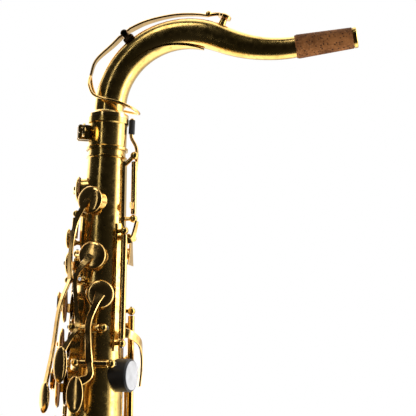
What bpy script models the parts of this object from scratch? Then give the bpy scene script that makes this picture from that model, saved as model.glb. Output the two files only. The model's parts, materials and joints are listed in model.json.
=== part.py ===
"""Tenor saxophone: a conical brass body, bow, bell and neck, with its keywork.

The model is laid out with the main tube upright on +Z and the underside of the bow at
height 0. The player stands at +X, the bell opens towards -X, and the left side faces -Y.
Everything hangs from one empty, which brings the eye of the strap ring to the origin.
Angles round a tube are in degrees: 0 faces +X (the player), 90 faces +Y, 180 faces -X.
"""
import math

import bmesh
import bpy
from mathutils import Matrix, Vector

MM = 0.001

# Main tube
TUBE_TOP = 672 * MM
TUBE_FOOT = 105 * MM
BORE_TOP = 27 * MM           # bore at RECEIVER_TOP, from where the cone is reckoned
TAPER = 0.059                # growth of the diameter per unit of length
WALL = 0.75 * MM
RECEIVER_TOP = 690 * MM
RECEIVER_FOOT = 664 * MM
RECEIVER_WALL = 3.2 * MM

# Bow and bell
BOW_BEND = 58 * MM           # half the distance between main tube and bell
BOW_CENTRE = 93 * MM         # height of the bend's centre
BELL_TILT = 3.5              # degrees that the bell leans away from the main tube
BELL_THROAT = 36.5 * MM
BELL_LENGTH = 330 * MM
BELL_CONE = 0.045
BELL_FLARE = 25.5 * MM
BELL_BEAD = 2.0 * MM
RING_WALL = 1.6 * MM
RING_LENGTH = 18 * MM

# Neck: a bend up and over, a shallow bend back, and a straight end under the cork
NECK_BEND = 64 * MM
NECK_BACK_BEND = 110 * MM
NECK_DIP = -22.5             # heading after the first bend, degrees above +X
NECK_RISE = 9.5              # heading at the mouthpiece end
NECK_STRAIGHT = 50 * MM
NECK_BASE_RADIUS = 12.0 * MM
NECK_TAPER = (               # (length along the neck, outer radius): full through the bend
    (0.0, NECK_BASE_RADIUS), (135 * MM, 11.5 * MM), (180 * MM, 9.2 * MM), (300 * MM, 6.4 * MM))
TENON_RADIUS = 12.9 * MM
TENON_LENGTH = 21 * MM
COLLAR_HEIGHT = 5.5 * MM
COLLAR_RADIUS = 16.2 * MM
CORK_LENGTH = 46 * MM
CORK_START_RADIUS = 9.7 * MM
CORK_END_RADIUS = 8.5 * MM
TIP_RING = 3.2 * MM          # length of the ring round the open end
TIP_RING_RADIUS = 8.4 * MM

# Keywork
GAP = 0.3 * MM               # running clearance and solder gap
CHIMNEY = 3.2 * MM           # height of a tone hole's rim over the tube
CHIMNEY_WALL = 0.9 * MM
CUP_OVERLAP = 2.6 * MM       # cup radius over hole radius
CUP_HEIGHT = 4.4 * MM
BARREL = 2.7 * MM            # outer radius of a hinge tube
POST_BALL = 3.2 * MM
POST_STEM = 1.7 * MM
LIFT = 7.5 * MM              # height of the hinge tubes over the tube's skin
ARM_THICKNESS = 1.8 * MM
PIN = 1.1 * MM               # radius of the stack rods
RIB_HEIGHT = 1.6 * MM

STRAP_RING_HEIGHT = 385 * MM
STRAP_RING_REACH = 9 * MM    # from the tube's skin to the middle of the eye

FINISHES = {                 # base colour, metallic, roughness
    "aged_brass": ((0.52, 0.36, 0.14, 1), 1.0, 0.32),
    "bright_brass": ((0.78, 0.58, 0.27, 1), 1.0, 0.22),
    "dark_brass": ((0.30, 0.19, 0.09, 1), 1.0, 0.38),
    "steel": ((0.55, 0.56, 0.57, 1), 1.0, 0.3),
    "cork": ((0.45, 0.27, 0.13, 1), 0.0, 0.85),
    "black_resin": ((0.02, 0.02, 0.022, 1), 0.0, 0.35),
}

for leftover in list(bpy.data.objects):
    bpy.data.objects.remove(leftover)

parts = bpy.data.collections.new("tenor_saxophone")
bpy.context.scene.collection.children.link(parts)


# ---------------------------------------------------------------- shaping tools

def new_object(mesh):
    piece = bpy.data.objects.new("piece", mesh)
    parts.objects.link(piece)
    return piece


def from_bmesh(shape, matrix=Matrix()):
    shape.transform(matrix)
    mesh = bpy.data.meshes.new("piece")
    shape.to_mesh(mesh)
    shape.free()
    return new_object(mesh)


def realise(piece):
    """Replace an object by a plain mesh of what its curve or modifiers make."""
    bpy.context.view_layer.update()
    graph = bpy.context.evaluated_depsgraph_get()
    mesh = bpy.data.meshes.new_from_object(piece.evaluated_get(graph))
    shape = bmesh.new()
    shape.from_mesh(mesh)
    bmesh.ops.remove_doubles(shape, verts=shape.verts, dist=0.000002)
    bmesh.ops.dissolve_degenerate(shape, edges=shape.edges, dist=0.000002)
    bpy.data.objects.remove(piece)
    return from_bmesh(shape)


def fuse(pieces, operation="UNION"):
    """Join the pieces into the first, or cut them out of it, one at a time."""
    base = pieces[0]
    for other in pieces[1:]:
        step = base.modifiers.new("join", "BOOLEAN")
        step.operation = operation
        step.object = other
        base = realise(base)
        bpy.data.objects.remove(other)
    return base


def cut(base, cutters):
    return fuse([base] + list(cutters), "DIFFERENCE")


def aim(point, axis, hint=Vector((0, 0, 1))):
    """A frame at the point with Z along the axis and X as near to the hint as it can be."""
    z = axis.normalized()
    if abs(z.dot(hint)) > 0.99:
        hint = Vector((1, 0, 0))
    y = z.cross(hint).normalized()
    x = y.cross(z)
    turn = Matrix((x, y, z)).transposed().to_4x4()
    return Matrix.Translation(point) @ turn


def rod(start, end, radius, sides=8, end_radius=None):
    shape = bmesh.new()
    bmesh.ops.create_cone(shape, cap_ends=True, segments=sides, radius1=radius,
                          radius2=radius if end_radius is None else end_radius,
                          depth=(end - start).length)
    return from_bmesh(shape, aim((start + end) / 2, end - start))


def ball(centre, radius, stretch=Matrix()):
    shape = bmesh.new()
    bmesh.ops.create_uvsphere(shape, u_segments=7, v_segments=4, radius=radius)
    return from_bmesh(shape, Matrix.Translation(centre) @ stretch)


def block(frame, size, bevel=0.0):
    """A box of the given size, centred on the frame."""
    shape = bmesh.new()
    bmesh.ops.create_cube(shape, size=1.0)
    shape.transform(Matrix.Diagonal((*size, 1)))
    if bevel:
        bmesh.ops.bevel(shape, geom=shape.edges[:], offset=bevel, segments=1, affect="EDGES")
    return from_bmesh(shape, frame)


def turned(profile, frame=Matrix(), steps=24, ring=False):
    """Turn (radius, height) points about Z; a ring's profile closes on itself."""
    count = len(profile)
    mesh = bpy.data.meshes.new("profile")
    edges = [(i, (i + 1) % count) for i in range(count if ring else count - 1)]
    mesh.from_pydata([(r, 0, h) for r, h in profile], edges, [])
    piece = new_object(mesh)
    turn = piece.modifiers.new("turn", "SCREW")
    turn.steps = steps
    turn.render_steps = steps
    turn.use_merge_vertices = True
    turn.merge_threshold = 0.00001
    solid = realise(piece)
    solid.data.transform(frame)
    return solid


def sleeve(inner, outer, low, high, frame=Matrix(), steps=24):
    return turned([(outer, high), (outer, low), (inner, low), (inner, high)],
                  frame, steps, ring=True)


def wire(points, radius, loop=False, radii=None, fineness=2):
    """A round wire or tube along the points, with closed ends."""
    curve = bpy.data.curves.new("wire", "CURVE")
    curve.dimensions = "3D"
    curve.bevel_depth = radius
    curve.bevel_resolution = fineness
    curve.use_fill_caps = not loop
    spline = curve.splines.new("POLY")
    spline.points.add(len(points) - 1)
    for i, place in enumerate(points):
        spline.points[i].co = (*place, 1)
        spline.points[i].radius = radii[i] / radius if radii else 1.0
    spline.use_cyclic_u = loop
    piece = bpy.data.objects.new("wire", curve)
    parts.objects.link(piece)
    return realise(piece)


def arm(points, normals, widths, thickness=ARM_THICKNESS):
    """A flat strap lofted through the points; each normal says which way it faces."""
    shape = bmesh.new()
    rings = []
    for i, place in enumerate(points):
        along = points[min(i + 1, len(points) - 1)] - points[max(i - 1, 0)]
        across = along.cross(normals[i]).normalized() * widths[i] / 2
        out = across.cross(along).normalized() * thickness / 2
        corners = (across + out, across - out, -across - out, -across + out)
        rings.append([shape.verts.new(place + corner) for corner in corners])
    for near, far in zip(rings, rings[1:]):
        for k in range(4):
            shape.faces.new((near[k], near[(k + 1) % 4], far[(k + 1) % 4], far[k]))
    shape.faces.new(rings[0])
    shape.faces.new(list(reversed(rings[-1])))
    bmesh.ops.recalc_face_normals(shape, faces=shape.faces)
    return from_bmesh(shape)




# ---------------------------------------------------------------- tubes to build on

class Tube:
    """A straight cone that tone holes, ribs and keys are placed on."""

    def __init__(self, frame, radius, ends, steps, stations=1):
        self.frame = frame
        self.radius = radius
        self.steps = steps
        shares = [(i / stations) ** 0.6 for i in range(stations, -1, -1)]
        heights = [ends[0] + (ends[1] - ends[0]) * share for share in shares]
        self.skin = [(radius(height), height) for height in heights]

    def out(self, angle):
        turn = math.radians(angle)
        return self.frame.to_3x3() @ Vector((math.cos(turn), math.sin(turn), 0))

    def side(self, angle):
        return self.out(angle + 90)

    def up(self):
        return self.frame.to_3x3() @ Vector((0, 0, 1))

    def point(self, angle, along, lift=0.0):
        on_axis = self.frame @ Vector((0, 0, along))
        return on_axis + self.out(angle) * (self.radius(along) + lift)

    def clearance(self):
        """The tube's outer shape with the solder gap round it, to seat pieces on it."""
        skin = [(radius + GAP, height) for radius, height in self.skin]
        return turned([(0, skin[0][1])] + skin + [(0, skin[-1][1])], self.frame, self.steps)


def body_radius(height):
    return BORE_TOP / 2 + WALL + (RECEIVER_TOP - height) * TAPER / 2


def bell_radius(along):
    flare = BELL_FLARE * max(along / BELL_LENGTH, 0) ** 9
    return BELL_THROAT + BELL_CONE * along + flare


BOW_START = TUBE_FOOT - BOW_CENTRE
BOW_SPAN = 180 - BELL_TILT
bow_end = Vector((-BOW_BEND - BOW_BEND * math.cos(math.radians(BELL_TILT)), 0,
                  BOW_CENTRE - BOW_BEND * math.sin(math.radians(BELL_TILT))))
bell_axis = Vector((-math.sin(math.radians(BELL_TILT)), 0, math.cos(math.radians(BELL_TILT))))
bell_foot = bow_end + bell_axis * BOW_START
bell_side = Vector((0, 1, 0))
bell_turn = Matrix((bell_side.cross(bell_axis), bell_side, bell_axis)).transposed().to_4x4()

body = Tube(Matrix(), body_radius, (TUBE_FOOT, TUBE_TOP), 22)
bell = Tube(Matrix.Translation(bell_foot) @ bell_turn, bell_radius, (0.0, BELL_LENGTH), 28, 8)

strap_eye = Vector((body_radius(STRAP_RING_HEIGHT) + STRAP_RING_REACH, 0, STRAP_RING_HEIGHT))
hanger = bpy.data.objects.new("saxophone_origin", None)
hanger.location = -strap_eye
parts.objects.link(hanger)


def keep(piece, name, finish, pivot=None, axis=None, travel=None, held_open=0.0):
    """Name a finished piece; a moving one gets its origin on its hinge, Z along the axis.

    A positive turn about Z is the way the finger presses it. A key that stands open at
    rest is modelled shut and then turned back by held_open degrees.
    """
    piece.name = name
    piece.data.name = name
    colour, metallic, roughness = FINISHES[finish]
    material = bpy.data.materials.new(name)
    material.use_nodes = True
    shader = material.node_tree.nodes["Principled BSDF"]
    shader.inputs["Base Color"].default_value = colour
    shader.inputs["Metallic"].default_value = metallic
    shader.inputs["Roughness"].default_value = roughness
    piece.data.materials.clear()
    piece.data.materials.append(material)
    piece.data.shade_smooth()
    piece.data.set_sharp_from_angle(angle=math.radians(35))
    if pivot is not None:
        place = aim(pivot, axis)
        piece.data.transform(Matrix.Rotation(math.radians(-held_open), 4, "Z") @ place.inverted())
        piece.matrix_basis = place
        piece["travel_deg"] = travel
    piece.parent = hanger
    return piece


# ---------------------------------------------------------------- tone holes

BODY_HOLES = {               # name: (angle, height, hole diameter)
    "high_e": (188, 632 * MM, 16 * MM),
    "high_f": (249, 621 * MM, 17 * MM),
    "octave": (352, 581 * MM, 4 * MM),
    "high_eb": (262, 577 * MM, 17 * MM),
    "small_c": (192, 572 * MM, 14 * MM),
    "high_d": (281, 547 * MM, 17 * MM),
    "upper_b": (200, 538 * MM, 21 * MM),
    "side_c": (82, 525 * MM, 20 * MM),
    "bis": (200, 508 * MM, 21 * MM),
    "side_bb": (82, 480 * MM, 22 * MM),
    "upper_a": (200, 475 * MM, 27 * MM),
    "upper_g": (200, 436 * MM, 30 * MM),
    "g_sharp": (224, 397 * MM, 25 * MM),
    "f_sharp": (185, 353 * MM, 32 * MM),
    "lower_f": (185, 311 * MM, 34 * MM),
    "lower_e": (185, 266 * MM, 37 * MM),
    "lower_d": (185, 218 * MM, 40 * MM),
    "low_eb": (128, 165 * MM, 36 * MM),
}
BELL_HOLES = {
    "low_c_sharp": (-88, 62 * MM, 38 * MM),
    "low_b": (90, 95 * MM, 48 * MM),
    "low_bb": (90, 158 * MM, 50 * MM),
}
LOW_C_HOLE = 44 * MM
LOW_C_BEND = 40.0            # degrees round the bow from the main tube


def rim_centre(tube, hole):
    angle, along, _ = hole
    return tube.point(angle, along, CHIMNEY)


def chimneys(tube, holes):
    """The outer cylinders to add to a tube and the bores to take out of it."""
    outer = []
    bores = []
    for angle, along, diameter in holes.values():
        out = tube.out(angle)
        rim = tube.point(angle, along, CHIMNEY)
        start = rim - out * (CHIMNEY + tube.radius(along) * 0.7)
        radius = diameter / 2
        sides = 6 if radius < 4 * MM else 12 if radius < 12 * MM else 14
        outer.append(rod(start, rim, radius + CHIMNEY_WALL, sides))
        bores.append(rod(start - out * MM, rim + out * MM, radius, sides))
    return outer, bores


# ---------------------------------------------------------------- main tube and its rings

TUBE_BEADS = (658 * MM,)     # wire rings rolled round the tube under the receiver
BEAD = 1.1 * MM

outline = [(0, TUBE_TOP), (body_radius(TUBE_TOP), TUBE_TOP)]
for bead in TUBE_BEADS:
    outline += [(body_radius(bead), bead + BEAD), (body_radius(bead) + BEAD, bead + BEAD / 2),
                (body_radius(bead) + BEAD, bead - BEAD / 2), (body_radius(bead), bead - BEAD)]
outline += [(body_radius(TUBE_FOOT), TUBE_FOOT + GAP / 2), (0, TUBE_FOOT + GAP / 2)]
bore = turned([(0, TUBE_TOP + MM), (body_radius(TUBE_TOP) - WALL, TUBE_TOP + MM),
               (body_radius(TUBE_FOOT) - WALL, TUBE_FOOT - MM), (0, TUBE_FOOT - MM)],
              steps=body.steps)
rims, holes = chimneys(body, BODY_HOLES)
tube = fuse([turned(outline, steps=body.steps)] + rims)
keep(cut(tube, [bore] + holes), "body_tube", "aged_brass")

# Receiver: the clamping socket on top of the tube that takes the neck's tenon
CLAMP_ANGLE = 198.0
CLAMP_HEIGHT = 677.5 * MM
CLAMP_SLIT = 2.0 * MM
CLAMP_LUG = (10 * MM, 4 * MM, 12 * MM)
CLAMP_SCREW = 1.7 * MM
receiver_outer = TENON_RADIUS + GAP + RECEIVER_WALL
tube_seat = body_radius(RECEIVER_FOOT) + GAP
receiver = turned([(receiver_outer, RECEIVER_TOP), (receiver_outer, RECEIVER_TOP - 4 * MM),
                   (receiver_outer - MM, RECEIVER_TOP - 5 * MM),
                   (receiver_outer - MM, RECEIVER_FOOT + 3 * MM),
                   (receiver_outer + 0.4 * MM, RECEIVER_FOOT + 2 * MM),
                   (receiver_outer + 0.4 * MM, RECEIVER_FOOT), (tube_seat, RECEIVER_FOOT),
                   (tube_seat, TUBE_TOP + GAP), (TENON_RADIUS + GAP, TUBE_TOP + GAP),
                   (TENON_RADIUS + GAP, RECEIVER_TOP)], steps=20, ring=True)
clamp_out = body.out(CLAMP_ANGLE)
clamp_side = body.side(CLAMP_ANGLE)
lug_reach = receiver_outer + CLAMP_LUG[0] / 2 - 2 * MM
lugs = []
for way in (-1, 1):
    middle = clamp_out * lug_reach + clamp_side * way * (CLAMP_SLIT + CLAMP_LUG[1]) / 2
    frame = aim(middle + Vector((0, 0, CLAMP_HEIGHT)), Vector((0, 0, 1)), clamp_out)
    lugs.append(block(frame, CLAMP_LUG, 0.8 * MM))
screw_centre = clamp_out * (receiver_outer + 4.5 * MM) + Vector((0, 0, CLAMP_HEIGHT))
slit_middle = clamp_out * receiver_outer + Vector((0, 0, CLAMP_HEIGHT + 2 * MM))
slit = block(aim(slit_middle, Vector((0, 0, 1)), clamp_out), (24 * MM, CLAMP_SLIT, 17 * MM))
screw_hole = rod(screw_centre - clamp_side * 12 * MM, screw_centre + clamp_side * 12 * MM,
                 CLAMP_SCREW + GAP)
keep(cut(fuse([receiver] + lugs), [slit, screw_hole]), "neck_receiver", "bright_brass")

# Clamp screw: threaded shank through both lugs, with a round thumb plate
head_start = CLAMP_SLIT / 2 + CLAMP_LUG[1] + GAP
shank = rod(screw_centre - clamp_side * (head_start + 3 * MM),
            screw_centre + clamp_side * (head_start + MM), CLAMP_SCREW)
collar = rod(screw_centre + clamp_side * head_start,
             screw_centre + clamp_side * (head_start + 2.5 * MM), 3.2 * MM)
thumb_plate = rod(screw_centre + clamp_side * (head_start + 7 * MM) - clamp_out * 0.9 * MM,
                  screw_centre + clamp_side * (head_start + 7 * MM) + clamp_out * 0.9 * MM,
                  5.5 * MM, 16)
keep(fuse([shank, collar, thumb_plate]), "neck_clamp_screw", "bright_brass",
     screw_centre, clamp_side, travel=180)


# ---------------------------------------------------------------- bow and bell

def bow_path(extra=0.0):
    """Centre points and distances along the bow, longer at both ends by the extra."""
    points = [Vector((0, 0, TUBE_FOOT - GAP / 2 + extra))]
    steps = 9
    for i in range(steps + 1):
        turn = math.radians(BOW_SPAN * i / steps)
        points.append(Vector((-BOW_BEND + BOW_BEND * math.cos(turn), 0,
                              BOW_CENTRE - BOW_BEND * math.sin(turn))))
    points.append(bell_foot - bell_axis * (GAP / 2 - extra))
    return points


def bow_radii(points):
    """The bow widens evenly from the tube's foot to the bell's throat."""
    lengths = [0.0]
    for near, far in zip(points, points[1:]):
        lengths.append(lengths[-1] + (far - near).length)
    start = body_radius(TUBE_FOOT)
    return [start + (BELL_THROAT - start) * length / lengths[-1] for length in lengths]


def bow_solid(extra=0.0, wall=0.0):
    path = bow_path(extra)
    radii = [radius - wall for radius in bow_radii(path)]
    return wire(path, radii[0], radii=radii, fineness=8)


low_c_turn = math.radians(LOW_C_BEND)
low_c_middle = Vector((-BOW_BEND + BOW_BEND * math.cos(low_c_turn), 0,
                       BOW_CENTRE - BOW_BEND * math.sin(low_c_turn)))
bow_share = LOW_C_BEND / BOW_SPAN
low_c_skin = body_radius(TUBE_FOOT) + (BELL_THROAT - body_radius(TUBE_FOOT)) * bow_share
low_c_rim = low_c_middle + Vector((0, low_c_skin + CHIMNEY, 0))
right = Vector((0, 1, 0))
low_c_chimney = rod(low_c_middle + right * 6 * MM, low_c_rim,
                    LOW_C_HOLE / 2 + CHIMNEY_WALL, 16)
low_c_bore = rod(low_c_middle + right * 5 * MM, low_c_rim + right * MM, LOW_C_HOLE / 2, 16)
keep(cut(fuse([bow_solid(), low_c_chimney]), [bow_solid(MM, WALL), low_c_bore]),
     "bow", "aged_brass")

RIM_ARC = 5
skin = bell.skin
rim_radius = bell_radius(BELL_LENGTH)
bead = [(rim_radius + BELL_BEAD * math.sin(math.pi * i / RIM_ARC),
         BELL_LENGTH - BELL_BEAD * (1 - math.cos(math.pi * i / RIM_ARC)))
        for i in range(1, RIM_ARC)]
bell_outer = turned([(0, BELL_LENGTH)] + skin[:1] + bead + skin[1:] + [(0, 0)],
                    bell.frame, bell.steps)
lining = [(radius - WALL, along) for radius, along in skin]
bell_bore = turned([(0, BELL_LENGTH + MM), (lining[0][0] + 0.4 * MM, BELL_LENGTH + MM)]
                   + lining + [(lining[-1][0], -MM), (0, -MM)], bell.frame, bell.steps)
rims, holes = chimneys(bell, BELL_HOLES)
keep(cut(fuse([bell_outer] + rims), [bell_bore] + holes), "bell", "aged_brass")

# Clamping rings over the two joints
for name, tube, along in (("body_bow_ring", body, TUBE_FOOT), ("bow_bell_ring", bell, 0.0)):
    seat = max(tube.radius(along + side * RING_LENGTH / 2) for side in (-1, 1)) + 2 * GAP
    low = along - RING_LENGTH / 2
    high = along + RING_LENGTH / 2
    band = sleeve(seat, seat + RING_WALL, low, high, tube.frame, 24)
    lug = block(aim(tube.point(180, along, 4.5 * MM), tube.up(), tube.out(180)),
                (8 * MM, 9 * MM, RING_LENGTH - 4 * MM), 0.8 * MM)
    seat_core = rod(tube.point(0, low - MM) - tube.out(0) * tube.radius(low - MM),
                    tube.point(0, high + MM) - tube.out(0) * tube.radius(high + MM),
                    seat, 24)
    keep(fuse([band, cut(lug, [seat_core])]), name, "bright_brass")

# Brace: a ring between two curved feet, which holds the bell off the main tube
BRACE_HEIGHT = 395 * MM
BRACE_ANGLE = 172
BRACE_RING = 11 * MM
brace_along = (BRACE_HEIGHT - bell_foot.z) / bell_axis.z
tube_side = body.point(BRACE_ANGLE, BRACE_HEIGHT)
bell_skin = bell.point(0, brace_along)
bell_skin_up = bell.point(0, brace_along + 9 * MM) - bell.point(0, brace_along - 9 * MM)
middle = (tube_side + bell_skin) / 2
ring_path = [middle + Vector((BRACE_RING * math.cos(2 * math.pi * i / 14), 0,
                              BRACE_RING * math.sin(2 * math.pi * i / 14)))
             for i in range(14)]
brace = fuse([
    wire(ring_path, 2.6 * MM, loop=True),
    rod(middle + Vector((BRACE_RING, 0, 0)), tube_side + Vector((2 * MM, 0, 0)), 2.6 * MM),
    rod(middle - Vector((BRACE_RING, 0, 0)), bell_skin - Vector((2 * MM, 0, 0)), 2.6 * MM),
    block(aim(tube_side, Vector((0, 0, 1)), body.out(BRACE_ANGLE)), (4 * MM, 11 * MM, 22 * MM), MM),
    block(aim(bell_skin, bell_skin_up, bell.out(0)), (6 * MM, 18 * MM, 24 * MM), MM),
])
keep(cut(brace, [body.clearance(), bell.clearance()]), "bell_brace", "aged_brass")


# ---------------------------------------------------------------- neck

NECK_FOOT = RECEIVER_TOP - 8 * MM        # the neck tube starts inside the tenon
NECK_SPRING = RECEIVER_TOP + 9 * MM      # height where its bend begins


def heading(degrees):
    return Vector((math.cos(math.radians(degrees)), 0, math.sin(math.radians(degrees))))


def neck_place(length):
    """Centre point and heading at a length along the neck tube's centre line."""
    rise = NECK_SPRING - NECK_FOOT
    if length <= rise:
        return Vector((0, 0, NECK_FOOT + length)), 90.0
    centre = Vector((NECK_BEND, 0, NECK_SPRING))
    turned_by = min(math.degrees((length - rise) / NECK_BEND), 90 - NECK_DIP)
    facing = 90 - turned_by
    place = centre + heading(facing + 90) * NECK_BEND
    left = length - rise - math.radians(90 - NECK_DIP) * NECK_BEND
    if left <= 0:
        return place, facing
    centre = place + heading(facing + 90) * NECK_BACK_BEND
    turned_by = min(math.degrees(left / NECK_BACK_BEND), NECK_RISE - NECK_DIP)
    facing = NECK_DIP + turned_by
    place = centre - heading(facing + 90) * NECK_BACK_BEND
    left -= math.radians(NECK_RISE - NECK_DIP) * NECK_BACK_BEND
    if left > 0:
        place = place + heading(NECK_RISE) * left
    return place, facing


NECK_LENGTH = (NECK_SPRING - NECK_FOOT + math.radians(90 - NECK_DIP) * NECK_BEND
               + math.radians(NECK_RISE - NECK_DIP) * NECK_BACK_BEND + NECK_STRAIGHT)


def neck_radius(length):
    for (near, wide), (far, narrow) in zip(NECK_TAPER, NECK_TAPER[1:]):
        if length <= far:
            return wide + (narrow - wide) * (length - near) / (far - near)


def neck_solid(grow=0.0, overrun=0.0, start=0.0, end=NECK_LENGTH, fineness=6):
    """The neck's outer shape, grown by a distance and run on past its ends."""
    count = 15
    lengths = [start + (end - start) * i / count for i in range(count + 1)]
    points = [neck_place(length)[0] for length in lengths]
    points[0] = points[0] - heading(neck_place(start)[1]) * overrun
    points[-1] = points[-1] + heading(neck_place(end)[1]) * overrun
    radii = [neck_radius(length) + grow for length in lengths]
    return wire(points, radii[0], radii=radii, fineness=fineness)


def neck_frame(length):
    """A frame at the centre line: Z along the tube, X to the outside of the first bend."""
    place, facing = neck_place(length)
    return aim(place, heading(facing), heading(facing + 90))


def polar(distance, angle, aside=0.0):
    """A point by distance and angle round the centre of the neck's first bend."""
    return Vector((NECK_BEND, aside, NECK_SPRING)) + heading(angle) * distance


VENT_ANGLE = 70.5            # where the octave vent stands on the first bend
VENT_RISE = 5.0 * MM
HINGE_ANGLE = 131.0
HINGE_REACH = 81 * MM        # from the bend's centre to the octave key's hinge

vent_length = NECK_SPRING - NECK_FOOT + math.radians(180 - VENT_ANGLE) * NECK_BEND
vent_skin = NECK_BEND + neck_radius(vent_length)
nipple = rod(polar(vent_skin - 2 * MM, VENT_ANGLE),
             polar(vent_skin + VENT_RISE, VENT_ANGLE), 3.4 * MM, 12, 2.6 * MM)
nipple_hole = rod(polar(NECK_BEND, VENT_ANGLE),
                  polar(vent_skin + VENT_RISE + MM, VENT_ANGLE), 1.4 * MM, 8)
tip = neck_frame(NECK_LENGTH)
tip_ring = turned([(0, 0), (TIP_RING_RADIUS, 0), (TIP_RING_RADIUS, -TIP_RING), (0, -TIP_RING)],
                  tip, 20)
keep(cut(fuse([neck_solid(), nipple, tip_ring]),
         [neck_solid(-WALL - 0.4 * MM, MM), nipple_hole]), "neck_tube", "aged_brass")

# Tenon and collar, soldered round the foot of the neck tube
neck_seat = NECK_BASE_RADIUS + GAP
base = RECEIVER_TOP + GAP
collar_top = base + COLLAR_HEIGHT
tenon_foot = base - TENON_LENGTH + 4 * MM
keep(turned([(neck_seat + 0.7 * MM, collar_top), (neck_seat + 1.6 * MM, collar_top - MM),
             (neck_seat + 2.2 * MM, collar_top - 2 * MM), (COLLAR_RADIUS, base + 3 * MM),
             (COLLAR_RADIUS, base), (TENON_RADIUS, base), (TENON_RADIUS, tenon_foot),
             (neck_seat, tenon_foot), (neck_seat, collar_top)], steps=20, ring=True),
     "neck_tenon", "bright_brass")

# Cork sleeve, up to the short ring on the mouthpiece end
cork_end = -TIP_RING - GAP
bore_start = neck_radius(NECK_LENGTH - CORK_LENGTH) + GAP
bore_end = neck_radius(NECK_LENGTH) + GAP
keep(turned([(CORK_END_RADIUS, cork_end), (CORK_START_RADIUS, cork_end - CORK_LENGTH + 2 * MM),
             (CORK_START_RADIUS - 0.7 * MM, cork_end - CORK_LENGTH),
             (bore_start, cork_end - CORK_LENGTH), (bore_end, cork_end)],
            tip, 20, ring=True), "neck_cork", "cork")

# Plate soldered under the bend, which runs out to a point before the cork
PLATE_START = 20 * MM
PLATE_END = 132 * MM
PLATE_SPREAD = 78.0          # half angle that it wraps round the tube
PLATE_THICKNESS = 1.1 * MM


def wrapped_plate(start, end, stations=10, slices=6):
    """A thin saddle on the inside of the bend, lofted from arcs that narrow to a point."""
    shape = bmesh.new()
    rows = []
    for i in range(stations + 1):
        share = i / stations
        length = start + (end - start) * share
        spread = math.radians(PLATE_SPREAD) * (1 - 0.94 * share ** 1.6)
        frame = neck_frame(length)
        inner = neck_radius(length) + 2.2 * GAP
        row = []
        for radius in (inner, inner + PLATE_THICKNESS):
            for k in range(slices + 1):
                turn = math.pi + spread * (2 * k / slices - 1)
                row.append(shape.verts.new(frame @ Vector((radius * math.cos(turn),
                                                           radius * math.sin(turn), 0))))
        rows.append(row)
    count = slices + 1
    edge = list(range(count)) + list(range(2 * count - 1, count - 1, -1))
    for near, far in zip(rows, rows[1:]):
        for a, b in zip(edge, edge[1:] + edge[:1]):
            shape.faces.new((near[a], near[b], far[b], far[a]))
    for row in (rows[0], rows[-1]):
        for k in range(slices):
            shape.faces.new((row[k], row[k + 1], row[count + k + 1], row[count + k]))
    bmesh.ops.recalc_face_normals(shape, faces=shape.faces)
    return from_bmesh(shape)


keep(wrapped_plate(PLATE_START, PLATE_END), "neck_underside_plate", "aged_brass")

# Saddle on top of the bend that carries the octave key's hinge between two posts
hinge = polar(HINGE_REACH, HINGE_ANGLE)
HINGE_HALF = 5.5 * MM        # half length of the octave key's hinge tube
post_aside = HINGE_HALF + GAP + 1.5 * MM
hinge_skin = NECK_BEND + neck_radius(vent_length)
saddle_frame = aim(polar(hinge_skin, HINGE_ANGLE), heading(HINGE_ANGLE), Vector((0, 1, 0)))
saddle = [block(saddle_frame, (2 * post_aside + 4 * MM, 9 * MM, 4 * MM), 0.8 * MM)]
for way in (-1, 1):
    aside = Vector((0, way * post_aside, 0))
    saddle.append(block(aim(polar(hinge_skin + 3 * MM, HINGE_ANGLE) + aside,
                            heading(HINGE_ANGLE), Vector((0, 1, 0))),
                        (3 * MM, 5 * MM, 10 * MM), 0.6 * MM))
    saddle.append(rod(hinge + aside - Vector((0, 1.5 * MM, 0)),
                      hinge + aside + Vector((0, 1.5 * MM, 0)), 3.0 * MM))
keep(cut(fuse(saddle), [neck_solid(GAP, fineness=8)]), "neck_octave_saddle", "dark_brass")

# Octave key: pad cup, strap over the bend, hinge tube, and the loop down round the neck
STRAP_REACH = HINGE_REACH + 1.6 * MM
sideways = Vector((0, 1, 0))
octave_cup_frame = aim(polar(vent_skin + VENT_RISE + GAP, VENT_ANGLE), heading(VENT_ANGLE))
octave_cup = turned([(0, 3.4 * MM), (4.2 * MM, 3.2 * MM), (5.4 * MM, 2.2 * MM), (5.4 * MM, 0),
                     (0, 0)], octave_cup_frame, 16)
strap_path = ((127, 1.6), (118, 0.4), (108, -1.0), (98, -1.6), (88, -1.8), (80, -1.6))
strap = arm([polar(HINGE_REACH + lift * MM, angle) for angle, lift in strap_path],
            [heading(angle) for angle, _ in strap_path],
            [10 * MM, 9 * MM, 7.5 * MM, 6 * MM, 5 * MM, 4 * MM])
strap_post = ball(polar(HINGE_REACH, 80), 2.6 * MM)
cup_stem = wire([polar(HINGE_REACH - MM, 80), polar(HINGE_REACH + 1.5 * MM, 75),
                 polar(vent_skin + VENT_RISE + 3 * MM, VENT_ANGLE)], 1.5 * MM)
loop_base = NECK_SPRING - 4 * MM
loop_top = Vector((-16.5 * MM, 0, loop_base + 31 * MM))
tail = arm([polar(STRAP_REACH, 134), polar(STRAP_REACH, 140),
            Vector((-12.5 * MM, 0, loop_base + 44 * MM)), loop_top],
           [heading(134), heading(140), heading(155), heading(160)],
           [10 * MM, 9 * MM, 6 * MM, 4 * MM])
bridge = arm([polar(STRAP_REACH, 126), polar(STRAP_REACH, 131), polar(STRAP_REACH, 136)],
             [heading(126), heading(131), heading(136)], [8.5 * MM] * 3)
half_loop = [(-16.5, 0, 31), (-16.5, 5, 26), (-15, 10, 20), (-10, 15.5, 12), (0, 18, 8),
             (10, 16.5, 6), (18, 12, 3.5), (23, 6, 1.5), (24.5, 0, 0.5)]
near_side = [Vector((x, -y, z)) * MM for x, y, z in half_loop]
far_side = [Vector((x, y, z)) * MM for x, y, z in half_loop[-2:0:-1]]
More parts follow.
